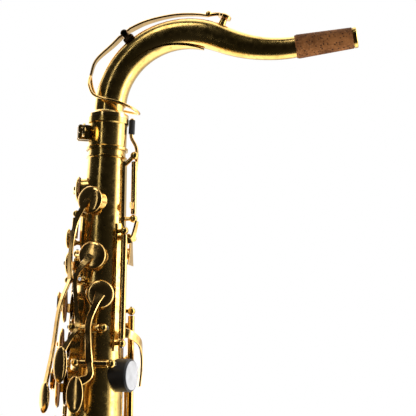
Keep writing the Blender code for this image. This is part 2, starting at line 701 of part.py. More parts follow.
loop = wire([Vector((0, 0, loop_base)) + place for place in near_side + far_side],
            1.15 * MM, loop=True)
hinge_tube = rod(hinge - sideways * HINGE_HALF, hinge + sideways * HINGE_HALF, 2.8 * MM)
keep(fuse([hinge_tube, bridge, strap, tail, octave_cup, cup_stem, strap_post, loop]),
     "neck_octave_key", "aged_brass", hinge, -sideways, travel=4)


# ---------------------------------------------------------------- ribs, posts and keys

def rib(name, tube, angle, low, high, posts, width=6 * MM, bores=(), more=()):
    """A strap soldered along the tube with ball-topped posts that carry the hinge tubes.

    Each post is (height along the tube, angle and lift of its ball).
    """
    heights = (low, high)
    middle = (RIB_HEIGHT - 2.5 * MM) / 2
    strap = arm([tube.point(angle, h, middle) for h in heights],
                [tube.out(angle)] * 2, [width] * 2, RIB_HEIGHT + 2.5 * MM)
    pieces = [strap] + list(more)
    for height, ball_angle, lift in posts:
        top = tube.point(ball_angle, height, lift)
        base = angle + max(-6, min(6, ball_angle - angle))
        pieces.append(rod(tube.point(base, height, 0), top, POST_STEM, 8))
        pieces.append(ball(top, POST_BALL))
    return keep(cut(fuse(pieces), [tube.clearance()] + list(bores)), name, "aged_brass")


def rod_line(tube, angle, low, high, lift=LIFT):
    """The two ends of a hinge line that follows the tube's slope."""
    return tube.point(angle, low, lift), tube.point(angle, high, lift)


def after(post):
    return post + POST_BALL + GAP


def before(post):
    return post - POST_BALL - GAP


def on_line(line, tube, along):
    """The point of a hinge line level with a height along its tube."""
    low, high = line
    up = tube.up()
    share = (along - (low - tube.frame.translation).dot(up)) / (high - low).dot(up)
    return low + (high - low) * share


def cup(rim, out, radius):
    """A shallow domed key cup with its pad face GAP above the rim."""
    return turned([(0, CUP_HEIGHT), (radius * 0.7, CUP_HEIGHT - 0.4 * MM),
                   (radius, CUP_HEIGHT * 0.5), (radius, 0), (0, 0)],
                  aim(rim + out * GAP, out), 14 if radius < 20 * MM else 18)


def cup_arm(start, rim, out, start_out, radius, width=6 * MM, rise=0.0):
    """A strap from a hinge tube to the middle of a cup, over the cup's edge; it may arch."""
    top = rim + out * (GAP + CUP_HEIGHT)
    inward = (start - top)
    inward = (inward - out * inward.dot(out)).normalized()
    edge = top + inward * radius * 0.75 + out * 0.8 * MM
    middle_out = (out + start_out).normalized()
    foot = start + start_out * BARREL * 0.4
    crown = [(foot + edge) / 2 + middle_out * rise] if rise else []
    return arm([foot] + crown + [edge, top, top - inward * radius * 0.35],
               [middle_out] * len(crown) + [middle_out, out, out, out],
               [width + 2 * MM] + [width] * len(crown) + [width, width * 0.8, width * 0.5])


def swing_sign(axis, hinge_point, rim, out):
    """+1 where a positive turn about the axis lifts the cup off its rim."""
    return 1 if axis.cross(rim - hinge_point).dot(out) > 0 else -1


def stack_key(name, tube, line, low, high, hole, angle, is_open, extras=(), bores=(),
              holes=None, travel_deg=8.0, finish="aged_brass", width=6 * MM, rise=0.0):
    """A key on a hinge line along a tube: hinge tube, arm and cup, and any extras."""
    spot = (holes or BODY_HOLES)[hole]
    rim = rim_centre(tube, spot)
    out = tube.out(spot[0])
    radius = spot[2] / 2 + CUP_OVERLAP
    start = on_line(line, tube, low)
    end = on_line(line, tube, high)
    reach = min(max(spot[1], low + 5 * MM), high - 5 * MM)
    pieces = [rod(start, end, BARREL, 10), cup(rim, out, radius),
              cup_arm(on_line(line, tube, reach), rim, out, tube.out(angle), radius, width,
                      rise)]
    pieces += list(extras)
    axis = (end - start).normalized()
    opening = swing_sign(axis, start, rim, out)
    key = fuse(pieces)
    if bores:
        key = cut(key, bores)
    if is_open:
        return keep(key, name, finish, start, axis * -opening, travel_deg, held_open=travel_deg)
    return keep(key, name, finish, start, axis * opening, travel_deg)


def pearl_seat(centre, out, radius=8.5 * MM, height=3.0 * MM):
    """The round brass holder that a finger pearl is set in."""
    return turned([(0, height), (radius - MM, height), (radius, height - MM),
                   (radius * 0.8, 0), (0, 0)], aim(centre, out), 12)


def pin_core(line, grow=0.0, overrun=0.0):
    along = (line[1] - line[0]).normalized() * overrun
    return rod(line[0] - along, line[1] + along, PIN + grow, 8)


# ---------------------------------------------------------------- upper stack

UPPER_RIB_ANGLE = 145
UPPER_ROD_ANGLE = 150
UPPER_LIFT = 9 * MM
UPPER_POSTS = (414 * MM, 489 * MM, 582 * MM)
upper_line = rod_line(body, UPPER_ROD_ANGLE, UPPER_POSTS[0] - 4 * MM, UPPER_POSTS[-1] + 4 * MM,
                      UPPER_LIFT)
HIGH_E_ROD = 127
HIGH_E_POSTS = (446 * MM, 652 * MM)
rib("upper_stack_rib", body, UPPER_RIB_ANGLE, 408 * MM, 657 * MM,
    [(height, UPPER_ROD_ANGLE, UPPER_LIFT) for height in UPPER_POSTS]
    + [(height, HIGH_E_ROD, LIFT) for height in HIGH_E_POSTS], 5 * MM,
    bores=[pin_core(upper_line, GAP, 2 * MM)])
keep(pin_core(upper_line), "upper_stack_pin", "steel")


def touch_on_cup(hole, shift):
    """A pearl seat over a cup, shifted along the tube from the cup's middle."""
    out = body.out(BODY_HOLES[hole][0])
    top = rim_centre(body, BODY_HOLES[hole]) + out * (GAP + CUP_HEIGHT - 0.6 * MM)
    place = top + body.up() * shift
    stalk = rod(place - out * 1.5 * MM, place + out * 1.2 * MM, 3.5 * MM, 6)
    return [stalk, pearl_seat(place + out * 0.9 * MM, out)]


UPPER_KEYS = (               # name, hole, barrel's low and high end, pearl shift
    ("upper_g_key", "upper_g", after(UPPER_POSTS[0]), 454 * MM, 4 * MM),
    ("upper_a_key", "upper_a", 454 * MM + GAP, before(UPPER_POSTS[1]), 6 * MM),
    ("bis_key", "bis", after(UPPER_POSTS[1]), 522 * MM, None),
    ("upper_b_key", "upper_b", 522 * MM + GAP, 553 * MM, 3 * MM),
    ("small_c_key", "small_c", 553 * MM + GAP, before(UPPER_POSTS[2]), None),
)
for name, hole, low, high, pearl in UPPER_KEYS:
    extras = touch_on_cup(hole, pearl) if pearl is not None else []
    stack_key(name, body, upper_line, low, high, hole, UPPER_ROD_ANGLE, True, extras,
              [pin_core(upper_line, GAP, 2 * MM)], travel_deg=9.0)


# ---------------------------------------------------------------- lower stack

LOWER_RIB_ANGLE = 130
LOWER_ROD_ANGLE = 135
LOWER_LIFT = 11.5 * MM
LOWER_POSTS = (193 * MM, 288.5 * MM, 378 * MM)
lower_line = rod_line(body, LOWER_ROD_ANGLE, LOWER_POSTS[0] - 4 * MM, LOWER_POSTS[-1] + 4 * MM,
                      LOWER_LIFT)
rib("lower_stack_rib", body, LOWER_RIB_ANGLE, 188 * MM, 384 * MM,
    [(height, LOWER_ROD_ANGLE, LOWER_LIFT) for height in LOWER_POSTS], 5 * MM,
    bores=[pin_core(lower_line, GAP, 2 * MM)])
keep(pin_core(lower_line), "lower_stack_pin", "steel")

LOWER_KEYS = (
    ("lower_d_key", "lower_d", after(LOWER_POSTS[0]), 243 * MM, 4 * MM),
    ("lower_e_key", "lower_e", 243 * MM + GAP, before(LOWER_POSTS[1]), 4 * MM),
    ("lower_f_key", "lower_f", after(LOWER_POSTS[1]), 332 * MM, 4 * MM),
    ("f_sharp_key", "f_sharp", 332 * MM + GAP, before(LOWER_POSTS[2]), None),
)
for name, hole, low, high, pearl in LOWER_KEYS:
    extras = touch_on_cup(hole, pearl) if pearl is not None else []
    stack_key(name, body, lower_line, low, high, hole, LOWER_ROD_ANGLE, True, extras,
              [pin_core(lower_line, GAP, 2 * MM)], travel_deg=9.0, width=7 * MM)


# ---------------------------------------------------------------- palm keys, left side

def touch_plate(centre, out, along, long_half, wide_half, thickness=2.4 * MM):
    """A flattened oval pad that a finger or palm presses."""
    frame = aim(centre, out, along)
    shape = bmesh.new()
    bmesh.ops.create_uvsphere(shape, u_segments=10, v_segments=5, radius=1.0)
    shape.transform(Matrix.Diagonal((long_half, wide_half, thickness, 1)))
    return from_bmesh(shape, frame)


PALM_HINGES = {              # name: (angle, height, lift, half length of the hinge tube)
    "high_f": (224, 558 * MM, 7.5 * MM, 3 * MM),
    "high_eb": (264, 521 * MM, 8 * MM, 9 * MM),
    "high_d": (276, 494 * MM, 8 * MM, 10.4 * MM),
}


FRONT_F_ANGLE = 211
FRONT_F_LIFT = 6.5 * MM
FRONT_F_POSTS = (588 * MM, 611 * MM)


def palm_posts(name, key, more=()):
    """A footplate with two ball posts, which carry a palm key's cross-wise hinge tube."""
    angle, height, lift, half = PALM_HINGES[key]
    out = body.out(angle)
    side = body.side(angle)
    hinge_point = body.point(angle, height, lift)
    reach = half + GAP + POST_BALL
    foot = block(aim(body.point(angle, height, -0.5 * MM), Vector((0, 0, 1)), out),
                 (4.2 * MM, 2 * reach * 0.8, 7 * MM), 0.8 * MM)
    pieces = [foot] + list(more)
    for way in (-1, 1):
        top = hinge_point + side * way * reach
        base_point = body.point(angle, height, 0) + side * way * reach * 0.7
        pieces.append(rod(base_point - out * 2 * MM, top, POST_STEM, 8))
        pieces.append(ball(top, POST_BALL))
    keep(cut(fuse(pieces), [body.clearance()]), name, "aged_brass")


def palm_key(name, key, cup_path, touch_path, widths, touch, travel_deg, shift=0.0):
    """A seesaw key: cup above its cross-wise hinge, touch below.

    The paths are (angle, height, lift) points, which start from the hinge tube, shifted
    along it; the touch is (long half, wide half).
    """
    angle, height, lift, half = PALM_HINGES[key]
    spot = BODY_HOLES[key]
    out = body.out(spot[0])
    rim = rim_centre(body, spot)
    radius = spot[2] / 2 + CUP_OVERLAP
    hinge_point = body.point(angle, height, lift)
    side = body.side(angle)
    over = hinge_point + body.out(angle) * BARREL + side * shift
    top = rim + out * (GAP + CUP_HEIGHT + 0.2 * MM)
    up_points = [over] + [body.point(*place) for place in cup_path] + [top]
    up_normals = [body.out(angle)] + [body.out(place[0]) for place in cup_path] + [out]
    down_points = [over] + [body.point(*place) for place in touch_path]
    down_normals = [body.out(angle)] + [body.out(place[0]) for place in touch_path]
    end = down_points[-1]
    end_out = down_normals[-1]
    pieces = [
        rod(hinge_point - side * half, hinge_point + side * half, BARREL, 10),
        cup(rim, out, radius),
        arm(up_points, up_normals, widths[:len(up_points)]),
        arm(down_points, down_normals, widths[-len(down_points):]),
        touch_plate(end - Vector((0, 0, touch[0] * 0.6)), end_out, Vector((0, 0, 1)), *touch),
    ]
    axis = side * swing_sign(side, hinge_point, rim, out)
    keep(fuse(pieces), name, "aged_brass", hinge_point, axis, travel_deg)


front_f_strap = [arm([body.point(224.5, 556 * MM, 0), body.point(224.5, 580 * MM, 0),
                      body.point(213, 590 * MM, 0), body.point(211, 614 * MM, 0)],
                     [body.out(220)] * 4, [3 * MM, 3 * MM, 4 * MM, 4.5 * MM], 3.4 * MM)]
for height in FRONT_F_POSTS:
    top = body.point(FRONT_F_ANGLE, height, FRONT_F_LIFT)
    front_f_strap += [rod(body.point(FRONT_F_ANGLE, height), top, POST_STEM, 8),
                      ball(top, 2.8 * MM)]
palm_posts("high_f_posts", "high_f", front_f_strap)
palm_posts("high_eb_posts", "high_eb")
palm_posts("high_d_posts", "high_d")
palm_key("high_f_key", "high_f", [(226, 573 * MM, 12 * MM), (228, 590 * MM, 12 * MM),
                                  (236, 606 * MM, 12 * MM)],
         [(224, 536 * MM, 17.5 * MM), (223, 504 * MM, 20 * MM), (222, 474 * MM, 24 * MM)],
         [6 * MM, 5 * MM, 5 * MM, 5 * MM, 5 * MM, 6 * MM], (12 * MM, 7.5 * MM), 4.0)
palm_key("high_eb_key", "high_eb", [(246, 540 * MM, 12.5 * MM), (245, 560 * MM, 14 * MM)],
         [(243, 511 * MM, 15 * MM), (239, 500 * MM, 21 * MM)],
         [5 * MM, 3.6 * MM, 4 * MM, 6 * MM], (14 * MM, 7 * MM), 6.0, shift=-7.0 * MM)
palm_key("high_d_key", "high_d", [(269, 508 * MM, 13.5 * MM), (268, 524 * MM, 14.5 * MM),
                                  (275, 538 * MM, 12 * MM)],
         [(273, 484 * MM, 14 * MM), (257, 478 * MM, 17 * MM)],
         [6 * MM, 5 * MM, 5 * MM, 5 * MM, 8 * MM], (14 * MM, 7 * MM), 8.0, shift=-3.0 * MM)


# ---------------------------------------------------------------- levers along the tube

def lever(name, tube, line, low, high, arms, travel_deg, press, finish="aged_brass"):
    """A hinge tube along the body with flat arms and touches, and no cup of its own.

    Each arm is (height, path, widths, touch): the path's points are (angle, height, lift),
    and the touch is (long half, wide half, points along the tube?) or None. A positive turn
    moves the press point, given as (angle, height, lift), towards the tube.
    """
    start = on_line(line, tube, low)
    end = on_line(line, tube, high)
    pieces = [rod(start, end, BARREL, 10)]
    for height, path, widths, touch in arms:
        points = [on_line(line, tube, height)] + [tube.point(*place) for place in path]
        normals = [tube.out(path[0][0])] + [tube.out(place[0]) for place in path]
        pieces.append(arm(points, normals, widths))
        if touch:
            along = tube.up() if touch[2] else tube.side(path[-1][0])
            pieces.append(touch_plate(points[-1], normals[-1], along, touch[0], touch[1]))
    axis = (end - start).normalized()
    away = swing_sign(axis, start, tube.point(*press), tube.out(press[0]))
    return keep(fuse(pieces), name, finish, start, axis * -away, travel_deg)


def side_key(name, hole, rod_angle, low, high, touch_path, touch, travel_deg, lift=LIFT):
    """A cup near the top of a long hinge tube that the right hand turns from below."""
    line = rod_line(body, rod_angle, low, high, lift)
    points = [on_line(line, body, touch_path[0][1])] + [body.point(*p) for p in touch_path]
    normals = [body.out(touch_path[0][0])] + [body.out(p[0]) for p in touch_path]
    extras = [arm(points, normals, [6 * MM] * len(points)),
              touch_plate(points[-1], normals[-1], body.up(), *touch)]
    stack_key(name, body, line, low, high, hole, rod_angle, False, extras,
              travel_deg=travel_deg)


# Right hand side keys: high E over the front, side C and side B flat on the right
SIDE_C_ROD = 26
SIDE_C_POSTS = (404 * MM, 537 * MM)
SIDE_BB_ROD = 38
SIDE_BB_POSTS = (376 * MM, 499 * MM)
rib("side_key_rib", body, 34, 370 * MM, 543 * MM,
    [(height, SIDE_C_ROD, LIFT) for height in SIDE_C_POSTS]
    + [(height, SIDE_BB_ROD, LIFT) for height in SIDE_BB_POSTS])
side_key("high_e_key", "high_e", HIGH_E_ROD, after(HIGH_E_POSTS[0]), before(HIGH_E_POSTS[1]),
         [(112, 455 * MM, 11 * MM), (98, 455 * MM, 17 * MM)], (11 * MM, 6 * MM), 8.0)
side_key("side_c_key", "side_c", SIDE_C_ROD, after(SIDE_C_POSTS[0]), before(SIDE_C_POSTS[1]),
         [(12, 412 * MM, 13 * MM), (4, 412 * MM, 20 * MM)], (9 * MM, 5 * MM), 7.0)
side_key("side_bb_key", "side_bb", SIDE_BB_ROD, after(SIDE_BB_POSTS[0]),
         before(SIDE_BB_POSTS[1]),
         [(44, 386 * MM, 13 * MM), (52, 386 * MM, 20 * MM)], (9 * MM, 5 * MM), 7.0)


# ---------------------------------------------------------------- octave mechanism, at the back

PIN_ANGLE = 350
PIN_POSTS = (609 * MM, 660 * MM)
THUMB_ANGLE = 324
THUMB_POSTS = (510 * MM, 598 * MM)
OCTAVE_LIFT = 8.4 * MM
pin_line = rod_line(body, PIN_ANGLE, *PIN_POSTS, OCTAVE_LIFT)
thumb_line = rod_line(body, THUMB_ANGLE, *THUMB_POSTS, LIFT)
rib("thumb_lever_rib", body, THUMB_ANGLE, 504 * MM, 604 * MM,
    [(height, THUMB_ANGLE, LIFT) for height in THUMB_POSTS], 5 * MM)

# The pin key: a rod above its hinge tube bends in and ends in the pin beside the tenon
pin_start = on_line(pin_line, body, after(PIN_POSTS[0]))
pin_end = on_line(pin_line, body, before(PIN_POSTS[1]) - 1.5 * MM)
pin_hook = on_line(pin_line, body, 645 * MM)
outside = body.point(PIN_ANGLE + 14, 650 * MM, OCTAVE_LIFT)
pin_foot = Vector((receiver_outer + 2.6 * MM, 2 * MM, 676 * MM))
pin_top = Vector((receiver_outer + 2.6 * MM, 2 * MM, 691.5 * MM))
pin_key = fuse([
    rod(pin_start, pin_end, BARREL - 0.4 * MM),
    arm([pin_hook, outside], [body.out(PIN_ANGLE + 8)] * 2, [6 * MM, 5 * MM]),
    wire([outside - Vector((0, 0, MM)), outside + Vector((0, 0, 16 * MM)), pin_foot,
          (pin_foot + pin_top) / 2], 1.4 * MM),
    rod((pin_foot + pin_top) / 2 - Vector((0, 0, 2 * MM)), pin_top, 1.7 * MM),
    arm([on_line(pin_line, body, 619 * MM), body.point(PIN_ANGLE - 16, 619 * MM, 9.5 * MM)],
        [body.out(PIN_ANGLE)] * 2, [7 * MM, 5 * MM]),
])
keep(pin_key, "octave_pin_key", "aged_brass", pin_start, pin_start - pin_end, travel=12)

# Thumb lever: hinge tube, a bowed thumb touch, and an arm up to the pin key
lever("thumb_octave_lever", body, thumb_line, after(THUMB_POSTS[0]), before(THUMB_POSTS[1]), [
    (519 * MM, [(338, 517 * MM, 11 * MM), (358, 512 * MM, 14 * MM), (14, 503 * MM, 15 * MM),
                (22, 490 * MM, 15 * MM), (21, 478 * MM, 14 * MM)],
     [8 * MM, 7 * MM, 7 * MM, 8 * MM, 9 * MM, 8 * MM], None),
    (590 * MM, [(334, 592 * MM, 11.5 * MM), (338, 606 * MM, 14.5 * MM)],
     [6 * MM, 5 * MM, 4 * MM], None),
], 6, (22, 490 * MM, 15 * MM))

# Body octave key: a small cup over the upper vent, on a short cross-wise hinge
vent = BODY_HOLES["octave"]
VENT_KEY_HINGE = (352, 594 * MM, 6.5 * MM)
vent_out = body.out(vent[0])
vent_side = body.side(vent[0])
vent_rim = rim_centre(body, vent)
vent_hinge = body.point(*VENT_KEY_HINGE)
vent_reach = 3.5 * MM + GAP + 2.4 * MM
octave_rib = [arm([body.point(PIN_ANGLE, h, -0.5 * MM) for h in (589 * MM, 655 * MM)],
                  [vent_out] * 2, [6 * MM] * 2, 4 * MM),
              block(aim(body.point(352, 594 * MM, -0.5 * MM), Vector((0, 0, 1)), vent_out),
                    (4 * MM, 10.5 * MM, 5 * MM), 0.8 * MM)]
for height in PIN_POSTS:
    top = body.point(PIN_ANGLE, height, OCTAVE_LIFT)
    foot = body.point(PIN_ANGLE, min(height, 652 * MM))
    octave_rib += [rod(foot, top, POST_STEM, 8), ball(top, POST_BALL)]
for way in (-1, 1):
    top = vent_hinge + vent_side * way * vent_reach
    foot = body.point(352, 594 * MM) + vent_side * way * 3.5 * MM
    octave_rib += [rod(foot, top, 1.4 * MM, 8), ball(top, 2.4 * MM)]
keep(cut(fuse(octave_rib), [body.clearance()]), "octave_rib", "aged_brass")
vent_cup_top = vent_rim + vent_out * (GAP + 3.0 * MM)
keep(fuse([
    rod(vent_hinge - vent_side * 3.5 * MM, vent_hinge + vent_side * 3.5 * MM, 2.2 * MM),
    turned([(0, 3 * MM), (3.2 * MM, 3 * MM), (4.6 * MM, 1.8 * MM), (4.6 * MM, 0), (0, 0)],
           aim(vent_rim + vent_out * GAP, vent_out), 14),
    arm([vent_hinge, vent_cup_top, vent_cup_top - Vector((0, 0, 9 * MM))],
        [vent_out] * 3, [5 * MM, 8 * MM, 13 * MM], 1.4 * MM),
]), "body_octave_key", "aged_brass", vent_hinge,
    vent_side * swing_sign(vent_side, vent_hinge, vent_rim, vent_out), travel=7)


# ---------------------------------------------------------------- rests, hook and strap ring

THUMB_REST_ANGLE = 345
THUMB_REST_HEIGHT = 486 * MM
THUMB_REST_RADIUS = 12.8 * MM
THUMB_REST_DEPTH = 10.5 * MM
rest_out = body.out(THUMB_REST_ANGLE)
rest_back = body.point(THUMB_REST_ANGLE, THUMB_REST_HEIGHT, -6 * MM)
rest_face = body.point(THUMB_REST_ANGLE, THUMB_REST_HEIGHT, THUMB_REST_DEPTH)
depth = (rest_face - rest_back).length
disc = turned([(0, depth), (THUMB_REST_RADIUS - 1.2 * MM, depth),
               (THUMB_REST_RADIUS, depth - 1.2 * MM), (THUMB_REST_RADIUS, 0), (0, 0)],
              aim(rest_back, rest_out), 24)
keep(cut(disc, [body.clearance()]), "thumb_rest", "black_resin")

# Right thumb hook: a curved finger standing off a soldered plate
HOOK_HEIGHT = 318 * MM
HOOK_ANGLE = 8
hook_out = body.out(HOOK_ANGLE)
hook_side = body.side(HOOK_ANGLE)
hook_base = body.point(HOOK_ANGLE, HOOK_HEIGHT, 0)
hook_plate = block(aim(hook_base, Vector((0, 0, 1)), hook_out), (5 * MM, 12 * MM, 30 * MM), MM)
finger = [hook_base + hook_out * x * MM - Vector((0, 0, z * MM))
          for x, z in ((0, -8), (9, -9), (18, -6), (23, 1), (23, 9))]
hook = arm(finger, [Vector((0, 0, 1)), Vector((0, 0, 1)), hook_out + Vector((0, 0, 1)), hook_out,
                    hook_out], [9 * MM, 9 * MM, 10 * MM, 11 * MM, 9 * MM], 3 * MM)
keep(cut(fuse([hook_plate, hook]), [body.clearance()]), "thumb_hook", "aged_brass")

# Strap ring: a plate, a short stalk and a heavy ring that the neck strap clips to
EYE_RADIUS = 6.5 * MM
EYE_WIRE = 1.8 * MM
strap_base = body.point(0, STRAP_RING_HEIGHT, 0)
eye_path = [strap_eye + Vector((EYE_RADIUS * math.cos(2 * math.pi * i / 14), 0,
                                EYE_RADIUS * math.sin(2 * math.pi * i / 14)))
            for i in range(14)]
strap_plate = block(aim(strap_base, Vector((0, 0, 1)), body.out(0)),
                    (4 * MM, 9 * MM, 22 * MM), MM)
keep(cut(fuse([strap_plate, wire(eye_path, EYE_WIRE, loop=True, fineness=1)]),
         [body.clearance()]), "strap_ring", "aged_brass")


# ---------------------------------------------------------------- front F and left little finger

front_f_line = rod_line(body, FRONT_F_ANGLE, *FRONT_F_POSTS, FRONT_F_LIFT)
lever("front_f_key", body, front_f_line, FRONT_F_POSTS[0] + 3.2 * MM,
      FRONT_F_POSTS[1] - 3.2 * MM, [
          (596 * MM, [(203, 595 * MM, 9 * MM), (191, 592 * MM, 10 * MM)],
           [6 * MM, 6 * MM, 6 * MM], (8 * MM, 6 * MM, True)),
          (604 * MM, [(218, 604 * MM, 7.5 * MM), (226, 603 * MM, 7.5 * MM)],
           [5 * MM, 4 * MM, 4 * MM], None),
      ], 8, (191, 592 * MM, 10 * MM))

# The table: each lever's touch stands off the left side, and a crank at the foot of its
# hinge tube reaches forward to the bell key that it works. Two straps and a cross-piece
# carry all their posts.
TABLE_LEVERS = {             # name: (hinge angle, lift, low post, high post)
    "low_c_sharp": (276, 8 * MM, 222 * MM, 424 * MM),
    "low_b": (300, 8 * MM, 262 * MM, 398 * MM),
    "low_bb": (315, 8 * MM, 284 * MM, 375 * MM),
}
FRONT_STRAP_ANGLE = 270
REAR_STRAP_ANGLE = 308
G_SHARP_ANGLE = 262
G_SHARP_POSTS = (399 * MM, 442 * MM)
table_posts = [(height, G_SHARP_ANGLE, 9 * MM) for height in G_SHARP_POSTS]
more = [arm([body.point(REAR_STRAP_ANGLE, h, -0.5 * MM) for h in (257 * MM, 403 * MM)],
            [body.out(REAR_STRAP_ANGLE)] * 2, [6 * MM] * 2, 4 * MM),
        arm([body.point(angle, 330 * MM, -0.5 * MM) for angle in (268, 281, 295, 310)],
            [body.out(angle) for angle in (268, 281, 295, 310)], [8 * MM] * 4, 4 * MM)]
for name in ("low_b", "low_bb"):
    angle, lift, *heights = TABLE_LEVERS[name]
    for height in heights:
        top = body.point(angle, height, lift)
        foot = body.point((angle + REAR_STRAP_ANGLE) / 2, height)
        more += [rod(foot, top, POST_STEM, 8), ball(top, POST_BALL)]
angle, lift, *heights = TABLE_LEVERS["low_c_sharp"]
table_posts += [(height, angle, lift) for height in heights]
rib("table_rib", body, FRONT_STRAP_ANGLE, 216 * MM, 447 * MM, table_posts, more=more)

g_sharp_line = rod_line(body, G_SHARP_ANGLE, *G_SHARP_POSTS, 9 * MM)
g_sharp_touch = [on_line(g_sharp_line, body, 431 * MM), body.point(275, 431 * MM, 14 * MM),
                 body.point(292, 431 * MM, 15 * MM)]
stack_key("g_sharp_key", body, g_sharp_line, after(G_SHARP_POSTS[0]), before(G_SHARP_POSTS[1]),
          "g_sharp", G_SHARP_ANGLE, False,
          [arm(g_sharp_touch, [body.out(angle) for angle in (264, 275, 292)], [7 * MM] * 3),
           touch_plate(g_sharp_touch[-1], body.out(292), body.side(292), 10 * MM, 6 * MM)],
          travel_deg=6.0)


def table_lever(name, key, touch_arm, crank, travel_deg):
    """touch_arm and crank are (height, path) pairs of lever arms, and the touch presses in."""
    angle, lift, low, high = TABLE_LEVERS[key]
    line = rod_line(body, angle, low, high, lift)
    height, path = touch_arm
    lever(name, body, line, after(low), before(high), [
        (height, path, [7 * MM] * (len(path) + 1), (10 * MM, 7.5 * MM, False)),
        (crank[0], crank[1], [6 * MM] * (len(crank[1]) + 1), None),
    ], travel_deg, path[-1])


table_lever("low_c_sharp_lever", "low_c_sharp",
            (407 * MM, [(282, 407 * MM, 13 * MM), (298, 407 * MM, 14 * MM)]),
            (230 * MM, [(262, 230 * MM, 12 * MM), (235, 230 * MM, 30 * MM),
                        (212, 230 * MM, 50 * MM)]), 5)
table_lever("low_b_lever", "low_b",
            (384 * MM, [(292, 384 * MM, 13 * MM), (282, 384 * MM, 14 * MM)]),
            (270 * MM, [(286, 270 * MM, 13.5 * MM), (268, 270 * MM, 15 * MM),
                        (235, 270 * MM, 30 * MM), (209, 270 * MM, 42 * MM)]), 4)
table_lever("low_bb_lever", "low_bb",
            (360 * MM, [(305, 360 * MM, 13.5 * MM), (297, 360 * MM, 14 * MM),
                        (284, 360 * MM, 14 * MM)]),
            (292 * MM, [(300, 292 * MM, 14 * MM), (268, 292 * MM, 15 * MM),
                        (232, 292 * MM, 29 * MM), (204, 292 * MM, 42 * MM)]), 4)


# ---------------------------------------------------------------- bell keys

LOW_B_POSTS = (56 * MM, 186 * MM)
LOW_B_ROD = 24
LOW_BB_ROD = 40
LOW_BB_POSTS = (128 * MM, 208 * MM)
rib("low_b_rib", bell, 31, 50 * MM, 212 * MM,
    [(along, LOW_B_ROD, LIFT) for along in LOW_B_POSTS]
    + [(along, LOW_BB_ROD, LIFT) for along in LOW_BB_POSTS], 10 * MM)
C_SHARP_ROD = -128
C_SHARP_POSTS = (36 * MM, 140 * MM)
rib("low_c_sharp_rib", bell, C_SHARP_ROD, 30 * MM, 146 * MM,
    [(along, C_SHARP_ROD, LIFT) for along in C_SHARP_POSTS])


BELL_ARM_RISE = 3 * MM       # how far the low cups' straps arch clear of the bell


def bell_key(name, hole, rod_angle, posts, crank_along, crank, is_open, travel_deg):
    """A bell key; the crank is a list of plain points from its hinge tube to the lever."""
    line = rod_line(bell, rod_angle, *posts)
    points = [on_line(line, bell, crank_along)] + [Vector(place) * MM for place in crank]
    flat = bell.up().cross(points[-1] - points[0]).normalized()
    stack_key(name, bell, line, after(posts[0]), before(posts[1]), hole, rod_angle, is_open,
              [arm(points, [flat] * len(points), [6 * MM] * len(points))],
              holes=BELL_HOLES, travel_deg=travel_deg, width=8 * MM,
              rise=BELL_ARM_RISE if is_open else 0.0)


bell_key("low_b_key", "low_b", LOW_B_ROD, LOW_B_POSTS, 176 * MM,
         [(-68, 0, 272), (-64, -24, 270)], True, 5.6)
bell_key("low_bb_key", "low_bb", LOW_BB_ROD, LOW_BB_POSTS, 196 * MM,
         [(-75.5, 5, 292), (-64, -20, 291)], True, 5.6)
bell_key("low_c_sharp_key", "low_c_sharp", C_SHARP_ROD, C_SHARP_POSTS, 128 * MM,
         [(-126, -58, 230), (-100, -58, 230), (-74, -47, 230)], False, 6.0)

# Guard over the two low cups: a bent bar with a foot at each end and a bumper over each cup
GUARD_RISE = 21 * MM
guard_path = [bell.point(90, 62 * MM, -2 * MM), bell.point(90, 64 * MM, GUARD_RISE - 3 * MM),
              bell.point(90, 68 * MM, GUARD_RISE), bell.point(90, 126 * MM, GUARD_RISE),
              bell.point(90, 186 * MM, GUARD_RISE), bell.point(90, 190 * MM, GUARD_RISE - 3 * MM),
              bell.point(90, 192 * MM, -2 * MM)]
guard = [wire(guard_path, 2.0 * MM)]
for along in (BELL_HOLES["low_b"][1], BELL_HOLES["low_bb"][1]):
    guard.append(rod(bell.point(90, along, GUARD_RISE - 3 * MM),
                     bell.point(90, along, GUARD_RISE + 2 * MM), 4.5 * MM))
keep(cut(fuse(guard), [bell.clearance()]), "bell_key_guard", "aged_brass")


# ---------------------------------------------------------------- lowest keys, right side

LOW_EB_ROD = 84
LOW_EB_POSTS = (142 * MM, 232 * MM)
LOW_C_ROD = 66
LOW_C_POSTS = (128 * MM, 212 * MM)
rib("low_key_rib", body, 75, 119 * MM, 238 * MM,
    [(height, LOW_EB_ROD, LIFT) for height in LOW_EB_POSTS]
    + [(height, LOW_C_ROD, LIFT) for height in LOW_C_POSTS], 9 * MM)
side_key("low_eb_key", "low_eb", LOW_EB_ROD, after(LOW_EB_POSTS[0]), before(LOW_EB_POSTS[1]),
         [(72, 222 * MM, 12 * MM), (60, 222 * MM, 15 * MM)], (12 * MM, 7 * MM), 7.0)

